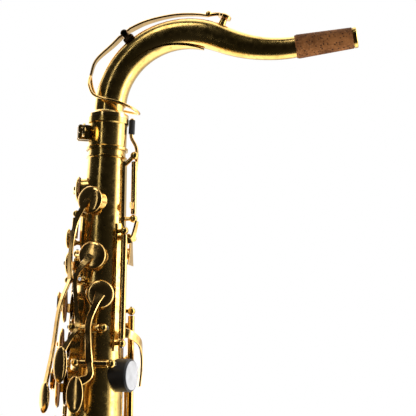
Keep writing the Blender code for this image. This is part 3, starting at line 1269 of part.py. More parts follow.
low_c_line = rod_line(body, LOW_C_ROD, *LOW_C_POSTS, LIFT)
low_c_start = on_line(low_c_line, body, after(LOW_C_POSTS[0]))
low_c_finish = on_line(low_c_line, body, before(LOW_C_POSTS[1]))
low_c_radius = LOW_C_HOLE / 2 + CUP_OVERLAP
low_c_arm = [on_line(low_c_line, body, 137 * MM), body.point(80, 131 * MM, 12 * MM),
             body.point(83, 117 * MM, 11 * MM), low_c_rim + right * (GAP + CUP_HEIGHT + 0.4 * MM)]
low_c_touch = body.point(50, 196 * MM, 15 * MM)
low_c_axis = (low_c_finish - low_c_start).normalized()
low_c_sign = swing_sign(low_c_axis, low_c_start, low_c_rim, right)
keep(fuse([
    rod(low_c_start, low_c_finish, BARREL),
    cup(low_c_rim, right, low_c_radius),
    arm(low_c_arm, [body.out(70), body.out(80), body.out(85), right], [9 * MM] * 3 + [6 * MM]),
    arm([on_line(low_c_line, body, 196 * MM), body.point(58, 196 * MM, 12 * MM), low_c_touch],
        [body.out(angle) for angle in (62, 58, 50)], [8 * MM] * 3),
    touch_plate(low_c_touch, body.out(50), body.side(50), 12 * MM, 7 * MM),
]), "low_c_key", "aged_brass", low_c_start, low_c_axis * -low_c_sign, 9.0, held_open=9.0)
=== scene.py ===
"""A tenor saxophone in worn, unlacquered brass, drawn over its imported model.

Pieces are laid out with the main tube upright and the underside of the bow at height 0, and
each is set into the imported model's frame as it is finished. The player stands at +X, the
bell opens towards -X, and the left side faces -Y. Angles round a tube are in degrees.
"""
import json
import math

import bmesh
import bpy
from mathutils import Matrix, Vector

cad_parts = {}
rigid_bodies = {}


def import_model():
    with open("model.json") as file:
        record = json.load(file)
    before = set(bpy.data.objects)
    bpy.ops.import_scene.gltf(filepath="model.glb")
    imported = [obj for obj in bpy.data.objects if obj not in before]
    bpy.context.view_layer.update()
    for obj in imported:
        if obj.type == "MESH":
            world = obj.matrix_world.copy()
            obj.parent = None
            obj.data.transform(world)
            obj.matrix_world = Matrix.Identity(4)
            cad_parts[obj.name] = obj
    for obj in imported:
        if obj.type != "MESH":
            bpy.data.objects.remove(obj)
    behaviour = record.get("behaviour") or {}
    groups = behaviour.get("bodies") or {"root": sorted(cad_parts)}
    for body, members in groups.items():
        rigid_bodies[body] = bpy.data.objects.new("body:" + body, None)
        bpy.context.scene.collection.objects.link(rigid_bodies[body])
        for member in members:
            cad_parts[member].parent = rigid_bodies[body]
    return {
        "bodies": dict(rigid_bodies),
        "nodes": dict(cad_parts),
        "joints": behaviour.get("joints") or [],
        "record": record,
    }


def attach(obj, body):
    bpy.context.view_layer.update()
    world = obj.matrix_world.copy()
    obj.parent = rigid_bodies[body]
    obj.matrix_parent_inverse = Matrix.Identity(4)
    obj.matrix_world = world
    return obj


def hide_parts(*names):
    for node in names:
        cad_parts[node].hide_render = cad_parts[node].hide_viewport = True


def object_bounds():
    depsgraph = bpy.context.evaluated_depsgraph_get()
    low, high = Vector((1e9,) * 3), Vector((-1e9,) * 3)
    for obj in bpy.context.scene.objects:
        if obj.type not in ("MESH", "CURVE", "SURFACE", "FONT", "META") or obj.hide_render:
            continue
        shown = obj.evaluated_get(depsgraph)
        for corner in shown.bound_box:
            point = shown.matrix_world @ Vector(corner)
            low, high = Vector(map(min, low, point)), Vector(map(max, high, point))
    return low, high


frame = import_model()
cad_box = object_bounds()
MM = 0.001


# ---------------------------------------------------------------- camera, light and floor
# The instrument hangs upright by its strap ring in a white room, over a pale floor. The
# camera stands at its left side, close in on the neck, and looks a little up. A dark side
# behind the camera gives polished brass its black middle between bright edges.

CAMERA_ANGLE = 276.5         # degrees round the main tube

turn = math.radians(CAMERA_ANGLE)

CAMERA_RISE = 9.0            # degrees that it looks up

rise = math.radians(CAMERA_RISE)

CAMERA_LEAN = 2.05           # degrees of roll

lean = math.radians(CAMERA_LEAN)
towards = Vector((math.cos(turn), math.sin(turn), 0))
across = Vector((-math.sin(turn), math.cos(turn), 0))
look = -towards * math.cos(rise) + Vector((0, 0, math.sin(rise)))
above = towards * math.sin(rise) + Vector((0, 0, math.cos(rise)))
view_right = across * math.cos(lean) + above * math.sin(lean)
view_up = above * math.cos(lean) - across * math.sin(lean)

CAMERA_ASIDE = 82.8 * MM     # from the main tube's axis to the middle of the view
CAMERA_LEVEL = 617.9 * MM

STRAP_EYE = Vector((0.0322475, 0, 0.385))
middle = Vector((0, 0, CAMERA_LEVEL)) + view_right * CAMERA_ASIDE - STRAP_EYE

CAMERA_DISTANCE = 1.0

eye = middle - look * CAMERA_DISTANCE
camera = bpy.data.objects.new("camera", bpy.data.cameras.new("camera"))
camera.matrix_world = Matrix((view_right, view_up, -look)).transposed().to_4x4()
camera.matrix_world.translation = eye
camera.data.sensor_width = 36

VIEW_WIDTH = 332 * MM        # seen at the camera's distance

camera.data.lens = 36 * CAMERA_DISTANCE / VIEW_WIDTH
bpy.context.scene.collection.objects.link(camera)
bpy.context.scene.camera = camera

world = bpy.data.worlds.new("studio")
world.use_nodes = True
bpy.context.scene.world = world
bpy.context.scene.view_settings.view_transform = "Standard"

# A white room with a dark side behind the camera, and white wherever it is seen directly
DARK_SIDE = math.radians(-22)    # round from the camera, to its left
dark_side = towards * math.cos(DARK_SIDE) + across * math.sin(DARK_SIDE)
room = world.node_tree
direction = room.nodes.new("ShaderNodeTexCoord").outputs["Generated"]
facing_dark = room.nodes.new("ShaderNodeVectorMath")
facing_dark.operation = "DOT_PRODUCT"
facing_dark.inputs[1].default_value = dark_side
room.links.new(direction, facing_dark.inputs[0])
share = room.nodes.new("ShaderNodeMapRange")
share.inputs["From Min"].default_value = -1
room.links.new(facing_dark.outputs["Value"], share.inputs["Value"])
glow = room.nodes.new("ShaderNodeValToRGB")
for _ in range(3):
    glow.color_ramp.elements.new(0.5)
for element, (position, value) in zip(glow.color_ramp.elements,
                                      ((0.04, 0.3), (0.16, 1.0), (0.42, 1.0), (0.56, 0.015),
                                       (1.0, 0.004))):
    element.position = position
    element.color = (value, value * 0.97, value * 0.93, 1)
room.links.new(share.outputs["Result"], glow.inputs["Fac"])
seen = room.nodes.new("ShaderNodeLightPath").outputs["Is Camera Ray"]
room.nodes["Background"].inputs["Strength"].default_value = 2.6
room.links.new(glow.outputs["Color"], room.nodes["Background"].inputs["Color"])
backdrop = room.nodes.new("ShaderNodeBackground")
mixed = room.nodes.new("ShaderNodeMixShader")
backdrop.inputs["Color"].default_value = (1, 1, 1, 1)
room.links.new(seen, mixed.inputs[0])
room.links.new(room.nodes["Background"].outputs[0], mixed.inputs[1])
room.links.new(backdrop.outputs[0], mixed.inputs[2])
room.links.new(mixed.outputs[0], room.nodes["World Output"].inputs["Surface"])


def plain(name, colour, roughness=0.9):
    material = bpy.data.materials.new(name)
    material.use_nodes = True
    shader = material.node_tree.nodes["Principled BSDF"]
    shader.inputs["Base Color"].default_value = (*colour, 1)
    shader.inputs["Roughness"].default_value = roughness
    return material


def card(name, centre, facing, width, height, material):
    """A flat sheet of card for the studio, not part of the object."""
    mesh = bpy.data.meshes.new(name)
    side = Vector((0, 0, 1)).cross(facing)
    side = side.normalized() if side.length > 0.01 else Vector((1, 0, 0))
    up = facing.cross(side).normalized()
    corners = [centre + side * width / 2 * a + up * height / 2 * b
               for a, b in ((-1, -1), (1, -1), (1, 1), (-1, 1))]
    mesh.from_pydata(corners, [], [(0, 1, 2, 3)])
    mesh.materials.append(material)
    piece = bpy.data.objects.new(name, mesh)
    bpy.context.scene.collection.objects.link(piece)
    return piece


floor = card("floor", Vector((0, 0, cad_box[0].z - 5 * MM)), Vector((0, 0, 1)), 30, 30,
             plain("pale_floor", (0.9, 0.9, 0.9)))
floor.visible_glossy = False


def lamp(name, place, size, power):
    light = bpy.data.lights.new(name, "AREA")
    light.shape = "RECTANGLE"
    light.size, light.size_y = size
    light.energy = power
    piece = bpy.data.objects.new(name, light)
    piece.matrix_world = Matrix.Translation(place) @ (
        (middle - place).to_track_quat("-Z", "Y").to_matrix().to_4x4())
    bpy.context.scene.collection.objects.link(piece)


lamp("left_strip", middle - across * 0.85 + towards * 1.15 + Vector((0, 0, 0.1)), (0.12, 1.8), 1.6)
lamp("right_lamp", middle + across * 1.3 + towards * 0.1 + Vector((0, 0, 0.3)), (0.4, 1.8), 9)
lamp("top_lamp", middle + towards * 0.7 - across * 0.5 + Vector((0, 0, 1.3)), (0.6, 0.6), 4)


# ---------------------------------------------------------------- main tube and its rings
# The body tube is sheet brass rolled into a long cone, with its tone holes drawn out of the
# wall and rolled smooth. A heavy receiver is soldered round its top, and a thumbscrew through
# two lugs at one side pinches it on the neck's tenon; the split between the lugs is not cut.

# Main tube
TUBE_TOP = 672 * MM

BORE_TOP = 27 * MM           # bore at RECEIVER_TOP, from where the cone is reckoned
TAPER = 0.059                # growth of the diameter per unit of length
WALL = 0.75 * MM
RECEIVER_TOP = 690 * MM


def body_radius(height):
    return BORE_TOP / 2 + WALL + (RECEIVER_TOP - height) * TAPER / 2


outline = [(0, TUBE_TOP), (body_radius(TUBE_TOP), TUBE_TOP)]

TUBE_BEADS = (658 * MM,)     # wire rings rolled round the tube under the receiver
BEAD = 1.1 * MM

for bead in TUBE_BEADS:
    outline += [(body_radius(bead), bead + BEAD), (body_radius(bead) + BEAD, bead + BEAD / 2),
                (body_radius(bead) + BEAD, bead - BEAD / 2), (body_radius(bead), bead - BEAD)]

TUBE_FOOT = 105 * MM

# Keywork
GAP = 0.3 * MM               # running clearance and solder gap

outline += [(body_radius(TUBE_FOOT), TUBE_FOOT + GAP / 2), (0, TUBE_FOOT + GAP / 2)]


def new_object(mesh):
    piece = bpy.data.objects.new("piece", mesh)
    bpy.context.scene.collection.objects.link(piece)
    return piece


def from_bmesh(shape, matrix=Matrix()):
    bmesh.ops.recalc_face_normals(shape, faces=shape.faces)
    shape.transform(matrix)
    mesh = bpy.data.meshes.new("piece")
    shape.to_mesh(mesh)
    shape.free()
    return new_object(mesh)


def lathe(profile, frame=Matrix(), steps=48, ring=False):
    """Turn (radius, height) points about Z; a ring's profile closes on itself."""
    shape = bmesh.new()
    rows = []
    for radius, height in profile:
        if radius < 1e-7:
            rows.append([shape.verts.new((0, 0, height))])
        else:
            rows.append([shape.verts.new((radius * math.cos(2 * math.pi * k / steps),
                                          radius * math.sin(2 * math.pi * k / steps), height))
                         for k in range(steps)])
    pairs = list(zip(rows, rows[1:])) + ([(rows[-1], rows[0])] if ring else [])
    for low, high in pairs:
        for k in range(steps):
            n = (k + 1) % steps
            if len(low) == 1 and len(high) == 1:
                break
            if len(low) == 1:
                shape.faces.new((low[0], high[k], high[n]))
            elif len(high) == 1:
                shape.faces.new((low[k], low[n], high[0]))
            else:
                shape.faces.new((low[k], low[n], high[n], high[k]))
    return from_bmesh(shape, frame)


def turned(profile, frame=Matrix(), steps=48, ring=False):
    return lathe(profile, frame, max(steps, 48), ring)


class Tube:
    """A straight cone that tone holes, ribs and keys are placed on."""

    def __init__(self, frame, radius, ends, steps, stations=1):
        self.frame = frame
        self.radius = radius
        self.steps = steps
        shares = [(i / stations) ** 0.6 for i in range(stations, -1, -1)]
        heights = [ends[0] + (ends[1] - ends[0]) * share for share in shares]
        self.skin = [(radius(height), height) for height in heights]

    def out(self, angle):
        turn = math.radians(angle)
        return self.frame.to_3x3() @ Vector((math.cos(turn), math.sin(turn), 0))

    def side(self, angle):
        return self.out(angle + 90)

    def up(self):
        return self.frame.to_3x3() @ Vector((0, 0, 1))

    def point(self, angle, along, lift=0.0):
        on_axis = self.frame @ Vector((0, 0, along))
        return on_axis + self.out(angle) * (self.radius(along) + lift)

    def clearance(self):
        """The tube's outer shape with the solder gap round it, to seat pieces on it."""
        skin = [(radius + GAP, height) for radius, height in self.skin]
        return turned([(0, skin[0][1])] + skin + [(0, skin[-1][1])], self.frame, self.steps)


body = Tube(Matrix(), body_radius, (TUBE_FOOT, TUBE_TOP), 96)

bore = turned([(0, TUBE_TOP + MM), (body_radius(TUBE_TOP) - WALL, TUBE_TOP + MM),
               (body_radius(TUBE_FOOT) - WALL, TUBE_FOOT - MM), (0, TUBE_FOOT - MM)],
              steps=body.steps)

CHIMNEY = 3.2 * MM           # height of a tone hole's rim over the tube
CHIMNEY_WALL = 0.9 * MM


def aim(point, axis, hint=Vector((0, 0, 1))):
    """A frame at the point with Z along the axis and X as near to the hint as it can be."""
    z = axis.normalized()
    if abs(z.dot(hint)) > 0.99:
        hint = Vector((1, 0, 0))
    y = z.cross(hint).normalized()
    x = y.cross(z)
    frame = Matrix((x, y, z)).transposed().to_4x4()
    frame.translation = point
    return frame


def rod(start, end, radius, sides=8, end_radius=None):
    length = (end - start).length
    edge = min(0.35 * MM, radius * 0.3, length / 4)
    top = radius if end_radius is None else end_radius
    return lathe([(0, 0), (radius - edge, 0), (radius, edge), (top, length - edge),
                  (top - edge, length), (0, length)], aim(start, end - start),
                 24 if radius < 5 * MM else 48)


BODY_HOLES = {               # name: (angle, height, hole diameter)
    "high_e": (188, 632 * MM, 16 * MM),
    "high_f": (249, 621 * MM, 17 * MM),
    "octave": (352, 581 * MM, 4 * MM),
    "high_eb": (262, 577 * MM, 17 * MM),
    "small_c": (192, 572 * MM, 14 * MM),
    "high_d": (281, 547 * MM, 17 * MM),
    "upper_b": (200, 538 * MM, 21 * MM),
    "side_c": (82, 525 * MM, 20 * MM),
    "bis": (200, 508 * MM, 21 * MM),
    "side_bb": (82, 480 * MM, 22 * MM),
    "upper_a": (200, 475 * MM, 27 * MM),
    "upper_g": (200, 436 * MM, 30 * MM),
    "g_sharp": (224, 397 * MM, 25 * MM),
    "f_sharp": (185, 353 * MM, 32 * MM),
    "lower_f": (185, 311 * MM, 34 * MM),
    "lower_e": (185, 266 * MM, 37 * MM),
    "lower_d": (185, 218 * MM, 40 * MM),
    "low_eb": (128, 165 * MM, 36 * MM),
}


def chimney(rim, out, reach, radius):
    """A drawn tone hole: a thin wall with a level, rounded rim."""
    return lathe([(radius, 0), (radius + 0.2 * MM, 0.05 * MM), (radius + CHIMNEY_WALL, 0),
                  (radius + CHIMNEY_WALL, -CHIMNEY * 0.6), (radius + CHIMNEY_WALL + MM, -reach),
                  (radius, -reach)], aim(rim, out), 48, ring=True)


def chimneys(tube, holes):
    """The rims to add to a tube and the bores to take out of it."""
    outer = []
    bores = []
    for angle, along, diameter in holes.values():
        out = tube.out(angle)
        rim = tube.point(angle, along, CHIMNEY)
        radius = diameter / 2
        skin = tube.radius(along)
        sag = skin - math.sqrt(max(skin * skin - (radius + 2 * MM) ** 2, 0))
        outer.append(chimney(rim, out, CHIMNEY + sag + 0.5 * MM, radius))
        bores.append(rod(rim - out * (CHIMNEY + skin * 0.7), rim + out * MM, radius))
    return outer, bores


rims, holes = chimneys(body, BODY_HOLES)


def realise(piece):
    bpy.context.view_layer.update()
    graph = bpy.context.evaluated_depsgraph_get()
    mesh = bpy.data.meshes.new_from_object(piece.evaluated_get(graph))
    bpy.data.objects.remove(piece)
    return new_object(mesh)


def fuse(pieces):
    """Put several meshes into one."""
    shape = bmesh.new()
    for piece in pieces:
        shape.from_mesh(piece.data)
        bpy.data.objects.remove(piece)
    mesh = bpy.data.meshes.new("piece")
    shape.to_mesh(mesh)
    shape.free()
    return new_object(mesh)


def carve(base, cutters):
    step = base.modifiers.new("cut", "BOOLEAN")
    step.operation = "DIFFERENCE"
    step.object = fuse(cutters)
    other = step.object
    step.use_self = True
    base = realise(base)
    bpy.data.objects.remove(other)
    return base


tube = carve(turned(outline, steps=body.steps), [bore])
tube = carve(tube, holes)

STRAP_RING_HEIGHT = 385 * MM
STRAP_RING_REACH = 9 * MM    # from the tube's skin to the middle of the eye


def nodes_of(name):
    material = bpy.data.materials.new(name)
    material.use_nodes = True
    tree = material.node_tree
    return material, tree, tree.nodes["Principled BSDF"]


def noise(tree, place, scale, detail=6.0, roughness=0.6):
    node = tree.nodes.new("ShaderNodeTexNoise")
    node.inputs["Scale"].default_value = scale
    node.inputs["Detail"].default_value = detail
    node.inputs["Roughness"].default_value = roughness
    tree.links.new(place, node.inputs["Vector"])
    return node.outputs["Fac"]


def ramp(tree, value, stops):
    node = tree.nodes.new("ShaderNodeValToRGB")
    while len(node.color_ramp.elements) < len(stops):
        node.color_ramp.elements.new(0.5)
    for element, (position, colour) in zip(node.color_ramp.elements, stops):
        element.position = position
        element.color = (*colour, 1) if len(colour) == 3 else (colour[0],) * 3 + (1,)
    tree.links.new(value, node.inputs["Fac"])
    return node.outputs["Color"]


def blend_colours(tree, share, first, second, mode="MIX"):
    node = tree.nodes.new("ShaderNodeMix")
    node.data_type = "RGBA"
    node.blend_type = mode
    tree.links.new(share, node.inputs["Factor"])
    for value, socket in ((first, 6), (second, 7)):
        if isinstance(value, tuple):
            node.inputs[socket].default_value = (*value, 1)
        else:
            tree.links.new(value, node.inputs[socket])
    return node.outputs[2]


def bump(tree, shader, height, strength, distance):
    node = tree.nodes.new("ShaderNodeBump")
    node.inputs["Strength"].default_value = strength
    node.inputs["Distance"].default_value = distance
    tree.links.new(height, node.inputs["Height"])
    tree.links.new(node.outputs["Normal"], shader.inputs["Normal"])


def worn_brass(name, bright, deep, tarnish, spots=0.5, polish=0.14):
    """Brass whose lacquer has gone: warm metal, olive-brown blooms, dark specks, fine wear."""
    material, tree, shader = nodes_of(name)
    place = tree.nodes.new("ShaderNodeTexCoord").outputs["Object"]
    cloud = noise(tree, place, 34, 8, 0.6)
    fine = noise(tree, place, 210, 6, 0.65)
    specks = noise(tree, place, 760, 3, 0.5)
    metal = ramp(tree, cloud, [(0.34, deep), (0.6, bright)])
    bloom = ramp(tree, fine, [(0.5, (0.0,)), (0.8, (0.85,))])
    colour = blend_colours(tree, bloom, metal, tarnish)
    dark = ramp(tree, specks, [(0.69 - 0.06 * spots, (0.0,)), (0.76, (0.9,))])
    colour = blend_colours(tree, dark, colour, tuple(c * 0.35 for c in tarnish))
    tree.links.new(colour, shader.inputs["Base Color"])
    rough = ramp(tree, fine, [(0.4, (polish,)), (0.8, (polish + 0.24,))])
    tree.links.new(rough, shader.inputs["Roughness"])
    shader.inputs["Metallic"].default_value = 1.0
    bump(tree, shader, fine, 0.1, 0.0003)
    return material


AGED_BRASS = worn_brass("aged_brass", (0.74, 0.5, 0.16), (0.5, 0.33, 0.085),
                        (0.2, 0.135, 0.04))

KEY_BRASS = worn_brass("key_brass", (0.8, 0.52, 0.18), (0.56, 0.34, 0.1),
                            (0.24, 0.14, 0.045), 0.3, 0.12)

bodies_of = {node: owner for owner, nodes in frame["record"]["behaviour"]["bodies"].items()
             for node in nodes}

strap_eye = Vector((body_radius(STRAP_RING_HEIGHT) + STRAP_RING_REACH, 0, STRAP_RING_HEIGHT))


def finish(piece, name, material, place=Matrix(), body=None, smooth=32):
    """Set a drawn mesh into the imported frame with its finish."""
    piece.name = name
    piece.data.name = name
    piece.data.transform(Matrix.Translation(-strap_eye) @ place)
    piece.data.materials.clear()
    piece.data.materials.append(material)
    piece.data.shade_smooth()
    piece.data.set_sharp_from_angle(angle=math.radians(smooth))
    if body:
        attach(piece, body)
    return piece


open_keys = {}


def keep(piece, name, material, pivot=None, axis=None, travel=None, held_open=0.0):
    """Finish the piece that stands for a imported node, turned open if the key rests open."""
    place = Matrix()
    if pivot is not None and held_open:
        seat = aim(pivot, axis)
        place = seat @ Matrix.Rotation(math.radians(-held_open), 4, "Z") @ seat.inverted()
    open_keys[name] = place
    if material is AGED_BRASS and pivot is not None:
        material = KEY_BRASS
    finish(piece, "drawn_" + name, material, place)
    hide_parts(name)
    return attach(piece, bodies_of[name])


keep(fuse([tube] + rims), "body_tube", AGED_BRASS)

RECEIVER_WALL = 3.2 * MM

TENON_RADIUS = 12.9 * MM

receiver_outer = TENON_RADIUS + GAP + RECEIVER_WALL

RECEIVER_FOOT = 664 * MM

tube_seat = body_radius(RECEIVER_FOOT) + GAP
receiver = turned([(receiver_outer, RECEIVER_TOP), (receiver_outer, RECEIVER_TOP - 4 * MM),
                   (receiver_outer - MM, RECEIVER_TOP - 5 * MM),
                   (receiver_outer - MM, RECEIVER_FOOT + 3 * MM),
                   (receiver_outer + 0.4 * MM, RECEIVER_FOOT + 2 * MM),
                   (receiver_outer + 0.4 * MM, RECEIVER_FOOT), (tube_seat, RECEIVER_FOOT),
                   (tube_seat, TUBE_TOP + GAP), (TENON_RADIUS + GAP, TUBE_TOP + GAP),
                   (TENON_RADIUS + GAP, RECEIVER_TOP)], steps=20, ring=True)

# Receiver: the clamping socket on top of the tube that takes the neck's tenon
CLAMP_ANGLE = 198.0

clamp_out = body.out(CLAMP_ANGLE)
clamp_side = body.side(CLAMP_ANGLE)

CLAMP_LUG = (10 * MM, 4 * MM, 12 * MM)

lug_reach = receiver_outer + CLAMP_LUG[0] / 2 - 2 * MM
lugs = []


def block(frame, size, bevel=0.3 * MM):
    """A box of the given size with rounded edges, centred on the frame."""
    shape = bmesh.new()
    bmesh.ops.create_cube(shape, size=1.0)
    shape.transform(Matrix.Diagonal((*size, 1)))
    bmesh.ops.bevel(shape, geom=shape.edges[:], offset=bevel, segments=3, affect="EDGES")
    return from_bmesh(shape, frame)


CLAMP_HEIGHT = 677.5 * MM
CLAMP_SLIT = 2.0 * MM

for way in (-1, 1):
    middle = clamp_out * lug_reach + clamp_side * way * (CLAMP_SLIT + CLAMP_LUG[1]) / 2
    frame = aim(middle + Vector((0, 0, CLAMP_HEIGHT)), Vector((0, 0, 1)), clamp_out)
    lugs.append(block(frame, CLAMP_LUG, 0.8 * MM))
screw_centre = clamp_out * (receiver_outer + 4.5 * MM) + Vector((0, 0, CLAMP_HEIGHT))
slit_middle = clamp_out * receiver_outer + Vector((0, 0, CLAMP_HEIGHT + 2 * MM))
slit = block(aim(slit_middle, Vector((0, 0, 1)), clamp_out), (24 * MM, CLAMP_SLIT, 17 * MM))

CLAMP_SCREW = 1.7 * MM

screw_hole = rod(screw_centre - clamp_side * 12 * MM, screw_centre + clamp_side * 12 * MM,
                 CLAMP_SCREW + GAP)


def drop(pieces):
    for piece in pieces:
        bpy.data.objects.remove(piece)


drop([slit])
keep(fuse([receiver, carve(fuse(lugs), [screw_hole])]), "neck_receiver", AGED_BRASS)

# Clamp screw: threaded shank through both lugs, with a round thumb plate
head_start = CLAMP_SLIT / 2 + CLAMP_LUG[1] + GAP
shank = rod(screw_centre - clamp_side * (head_start + 3 * MM),
            screw_centre + clamp_side * (head_start + MM), CLAMP_SCREW)
collar = rod(screw_centre + clamp_side * head_start,
             screw_centre + clamp_side * (head_start + 2.5 * MM), 3.2 * MM)
thumb_plate = rod(screw_centre + clamp_side * (head_start + 7 * MM) - clamp_out * 0.9 * MM,
                  screw_centre + clamp_side * (head_start + 7 * MM) + clamp_out * 0.9 * MM,
                  5.5 * MM, 16)

BRIGHT_BRASS = worn_brass("bright_brass", (0.9, 0.66, 0.28), (0.7, 0.48, 0.17),
                          (0.34, 0.22, 0.08), 0.2, 0.1)

keep(fuse([shank, collar, thumb_plate]), "neck_clamp_screw", BRIGHT_BRASS,
     screw_centre, clamp_side, travel=180)


# ---------------------------------------------------------------- bow and bell
# The bow is a formed U of sheet brass, soldered to the main tube and the bell under two
# rings. The bell is spun and its rim is rolled over a wire. A ring brace with a flange at
# each side holds it off the main tube.

LOW_C_BEND = 40.0            # degrees round the bow from the main tube

low_c_turn = math.radians(LOW_C_BEND)

# Bow and bell
BOW_BEND = 58 * MM           # half the distance between main tube and bell
BOW_CENTRE = 93 * MM         # height of the bend's centre

low_c_middle = Vector((-BOW_BEND + BOW_BEND * math.cos(low_c_turn), 0,
                       BOW_CENTRE - BOW_BEND * math.sin(low_c_turn)))

BELL_TILT = 3.5              # degrees that the bell leans away from the main tube

BOW_SPAN = 180 - BELL_TILT

bow_share = LOW_C_BEND / BOW_SPAN

BELL_THROAT = 36.5 * MM

low_c_skin = body_radius(TUBE_FOOT) + (BELL_THROAT - body_radius(TUBE_FOOT)) * bow_share
low_c_rim = low_c_middle + Vector((0, low_c_skin + CHIMNEY, 0))
right = Vector((0, 1, 0))

LOW_C_HOLE = 44 * MM

low_c_chimney = rod(low_c_middle + right * 6 * MM, low_c_rim,
                    LOW_C_HOLE / 2 + CHIMNEY_WALL, 16)
low_c_bore = rod(low_c_middle + right * 5 * MM, low_c_rim + right * MM, LOW_C_HOLE / 2, 16)
drop([low_c_chimney])


def spline(values, steps, loop=False):
    """Points of a Catmull-Rom curve through numbers or vectors."""
    count = len(values)
    ends = ([values[-1]] + list(values) + [values[0], values[1]] if loop else
            [values[0] * 2 - values[1]] + list(values) + [values[-1] * 2 - values[-2]])
    path = []
    for i in range(1, len(ends) - 2):
        a, b, c, d = ends[i - 1:i + 3]
        for k in range(steps):
            t = k / steps
            path.append((b * 2 + (c - a) * t + (a * 2 - b * 5 + c * 4 - d) * t ** 2
                         + (b * 3 - a - c * 3 + d) * t ** 3) * 0.5)
    if not loop:
        path.append(ends[-2])
    return path


def wire(points, radius, loop=False, radii=None, fineness=2, smooth=5):
    """A round wire or tube along a smooth path, with closed ends."""
    radii = radii or [radius] * len(points)
    if smooth > 1:
        points = spline(points, smooth, loop)
        radii = spline(radii, smooth, loop)
    curve = bpy.data.curves.new("wire", "CURVE")
    curve.dimensions = "3D"
    curve.bevel_depth = radius
    curve.bevel_resolution = max(fineness, 5)
    curve.use_fill_caps = not loop
    line = curve.splines.new("POLY")
    line.points.add(len(points) - 1)
    for i, place in enumerate(points):
        line.points[i].co = (*place, 1)
        line.points[i].radius = radii[i] / radius
    line.use_cyclic_u = loop
    piece = bpy.data.objects.new("wire", curve)
    bpy.context.scene.collection.objects.link(piece)
    return realise(piece)


BOW_START = TUBE_FOOT - BOW_CENTRE

bow_end = Vector((-BOW_BEND - BOW_BEND * math.cos(math.radians(BELL_TILT)), 0,
                  BOW_CENTRE - BOW_BEND * math.sin(math.radians(BELL_TILT))))
bell_axis = Vector((-math.sin(math.radians(BELL_TILT)), 0, math.cos(math.radians(BELL_TILT))))
bell_foot = bow_end + bell_axis * BOW_START


def bow_path(extra=0.0):
    """Centre points and distances along the bow, longer at both ends by the extra."""
    points = [Vector((0, 0, TUBE_FOOT - GAP / 2 + extra))]
    steps = 9
    for i in range(steps + 1):
        turn = math.radians(BOW_SPAN * i / steps)
        points.append(Vector((-BOW_BEND + BOW_BEND * math.cos(turn), 0,
                              BOW_CENTRE - BOW_BEND * math.sin(turn))))
    points.append(bell_foot - bell_axis * (GAP / 2 - extra))
    return points


def bow_radii(points):
    """The bow widens evenly from the tube's foot to the bell's throat."""
    lengths = [0.0]
    for near, far in zip(points, points[1:]):
        lengths.append(lengths[-1] + (far - near).length)
    start = body_radius(TUBE_FOOT)
    return [start + (BELL_THROAT - start) * length / lengths[-1] for length in lengths]


def bow_solid(extra=0.0, wall=0.0):
    path = bow_path(extra)
    radii = [radius - wall for radius in bow_radii(path)]
    return wire(path, radii[0], radii=radii, fineness=40, smooth=4)


bow = carve(bow_solid(), [bow_solid(MM, WALL)])
bow = carve(bow, [low_c_bore])
keep(fuse([bow, chimney(low_c_rim, right, 9 * MM, LOW_C_HOLE / 2)]), "bow", AGED_BRASS)

BELL_LENGTH = 330 * MM
BELL_CONE = 0.045
BELL_FLARE = 25.5 * MM


def bell_radius(along):
    flare = BELL_FLARE * max(along / BELL_LENGTH, 0) ** 9
    return BELL_THROAT + BELL_CONE * along + flare


bell_side = Vector((0, 1, 0))
bell_turn = Matrix((bell_side.cross(bell_axis), bell_side, bell_axis)).transposed().to_4x4()

bell = Tube(Matrix.Translation(bell_foot) @ bell_turn, bell_radius, (0.0, BELL_LENGTH), 112, 28)

skin = bell.skin
rim_radius = bell_radius(BELL_LENGTH)

BELL_BEAD = 2.0 * MM

RIM_ARC = 9

bead = [(rim_radius + BELL_BEAD * math.sin(math.pi * i / RIM_ARC),
         BELL_LENGTH - BELL_BEAD * (1 - math.cos(math.pi * i / RIM_ARC)))
        for i in range(1, RIM_ARC)]
bell_outer = turned([(0, BELL_LENGTH)] + skin[:1] + bead + skin[1:] + [(0, 0)],
                    bell.frame, bell.steps)
lining = [(radius - WALL, along) for radius, along in skin]
bell_bore = turned([(0, BELL_LENGTH + MM), (lining[0][0] + 0.4 * MM, BELL_LENGTH + MM)]
                   + lining + [(lining[-1][0], -MM), (0, -MM)], bell.frame, bell.steps)

BELL_HOLES = {
    "low_c_sharp": (-88, 62 * MM, 38 * MM),
    "low_b": (90, 95 * MM, 48 * MM),
    "low_bb": (90, 158 * MM, 50 * MM),
}

rims, holes = chimneys(bell, BELL_HOLES)
bell_shell = carve(carve(bell_outer, [bell_bore]), holes)
keep(fuse([bell_shell] + rims), "bell", AGED_BRASS)

RING_WALL = 1.6 * MM
RING_LENGTH = 18 * MM


def cut(base, cutters):
    """Only the tubes are really cut, by carve; other seats are hidden inside the joint."""
    drop(cutters)
    return base


def sleeve(inner, outer, low, high, frame=Matrix(), steps=48):
    edge = min(0.4 * MM, (outer - inner) / 3)
    return lathe([(outer - edge, high), (outer, high - edge), (outer, low + edge),
                  (outer - edge, low), (inner, low), (inner, high)], frame, 72, ring=True)


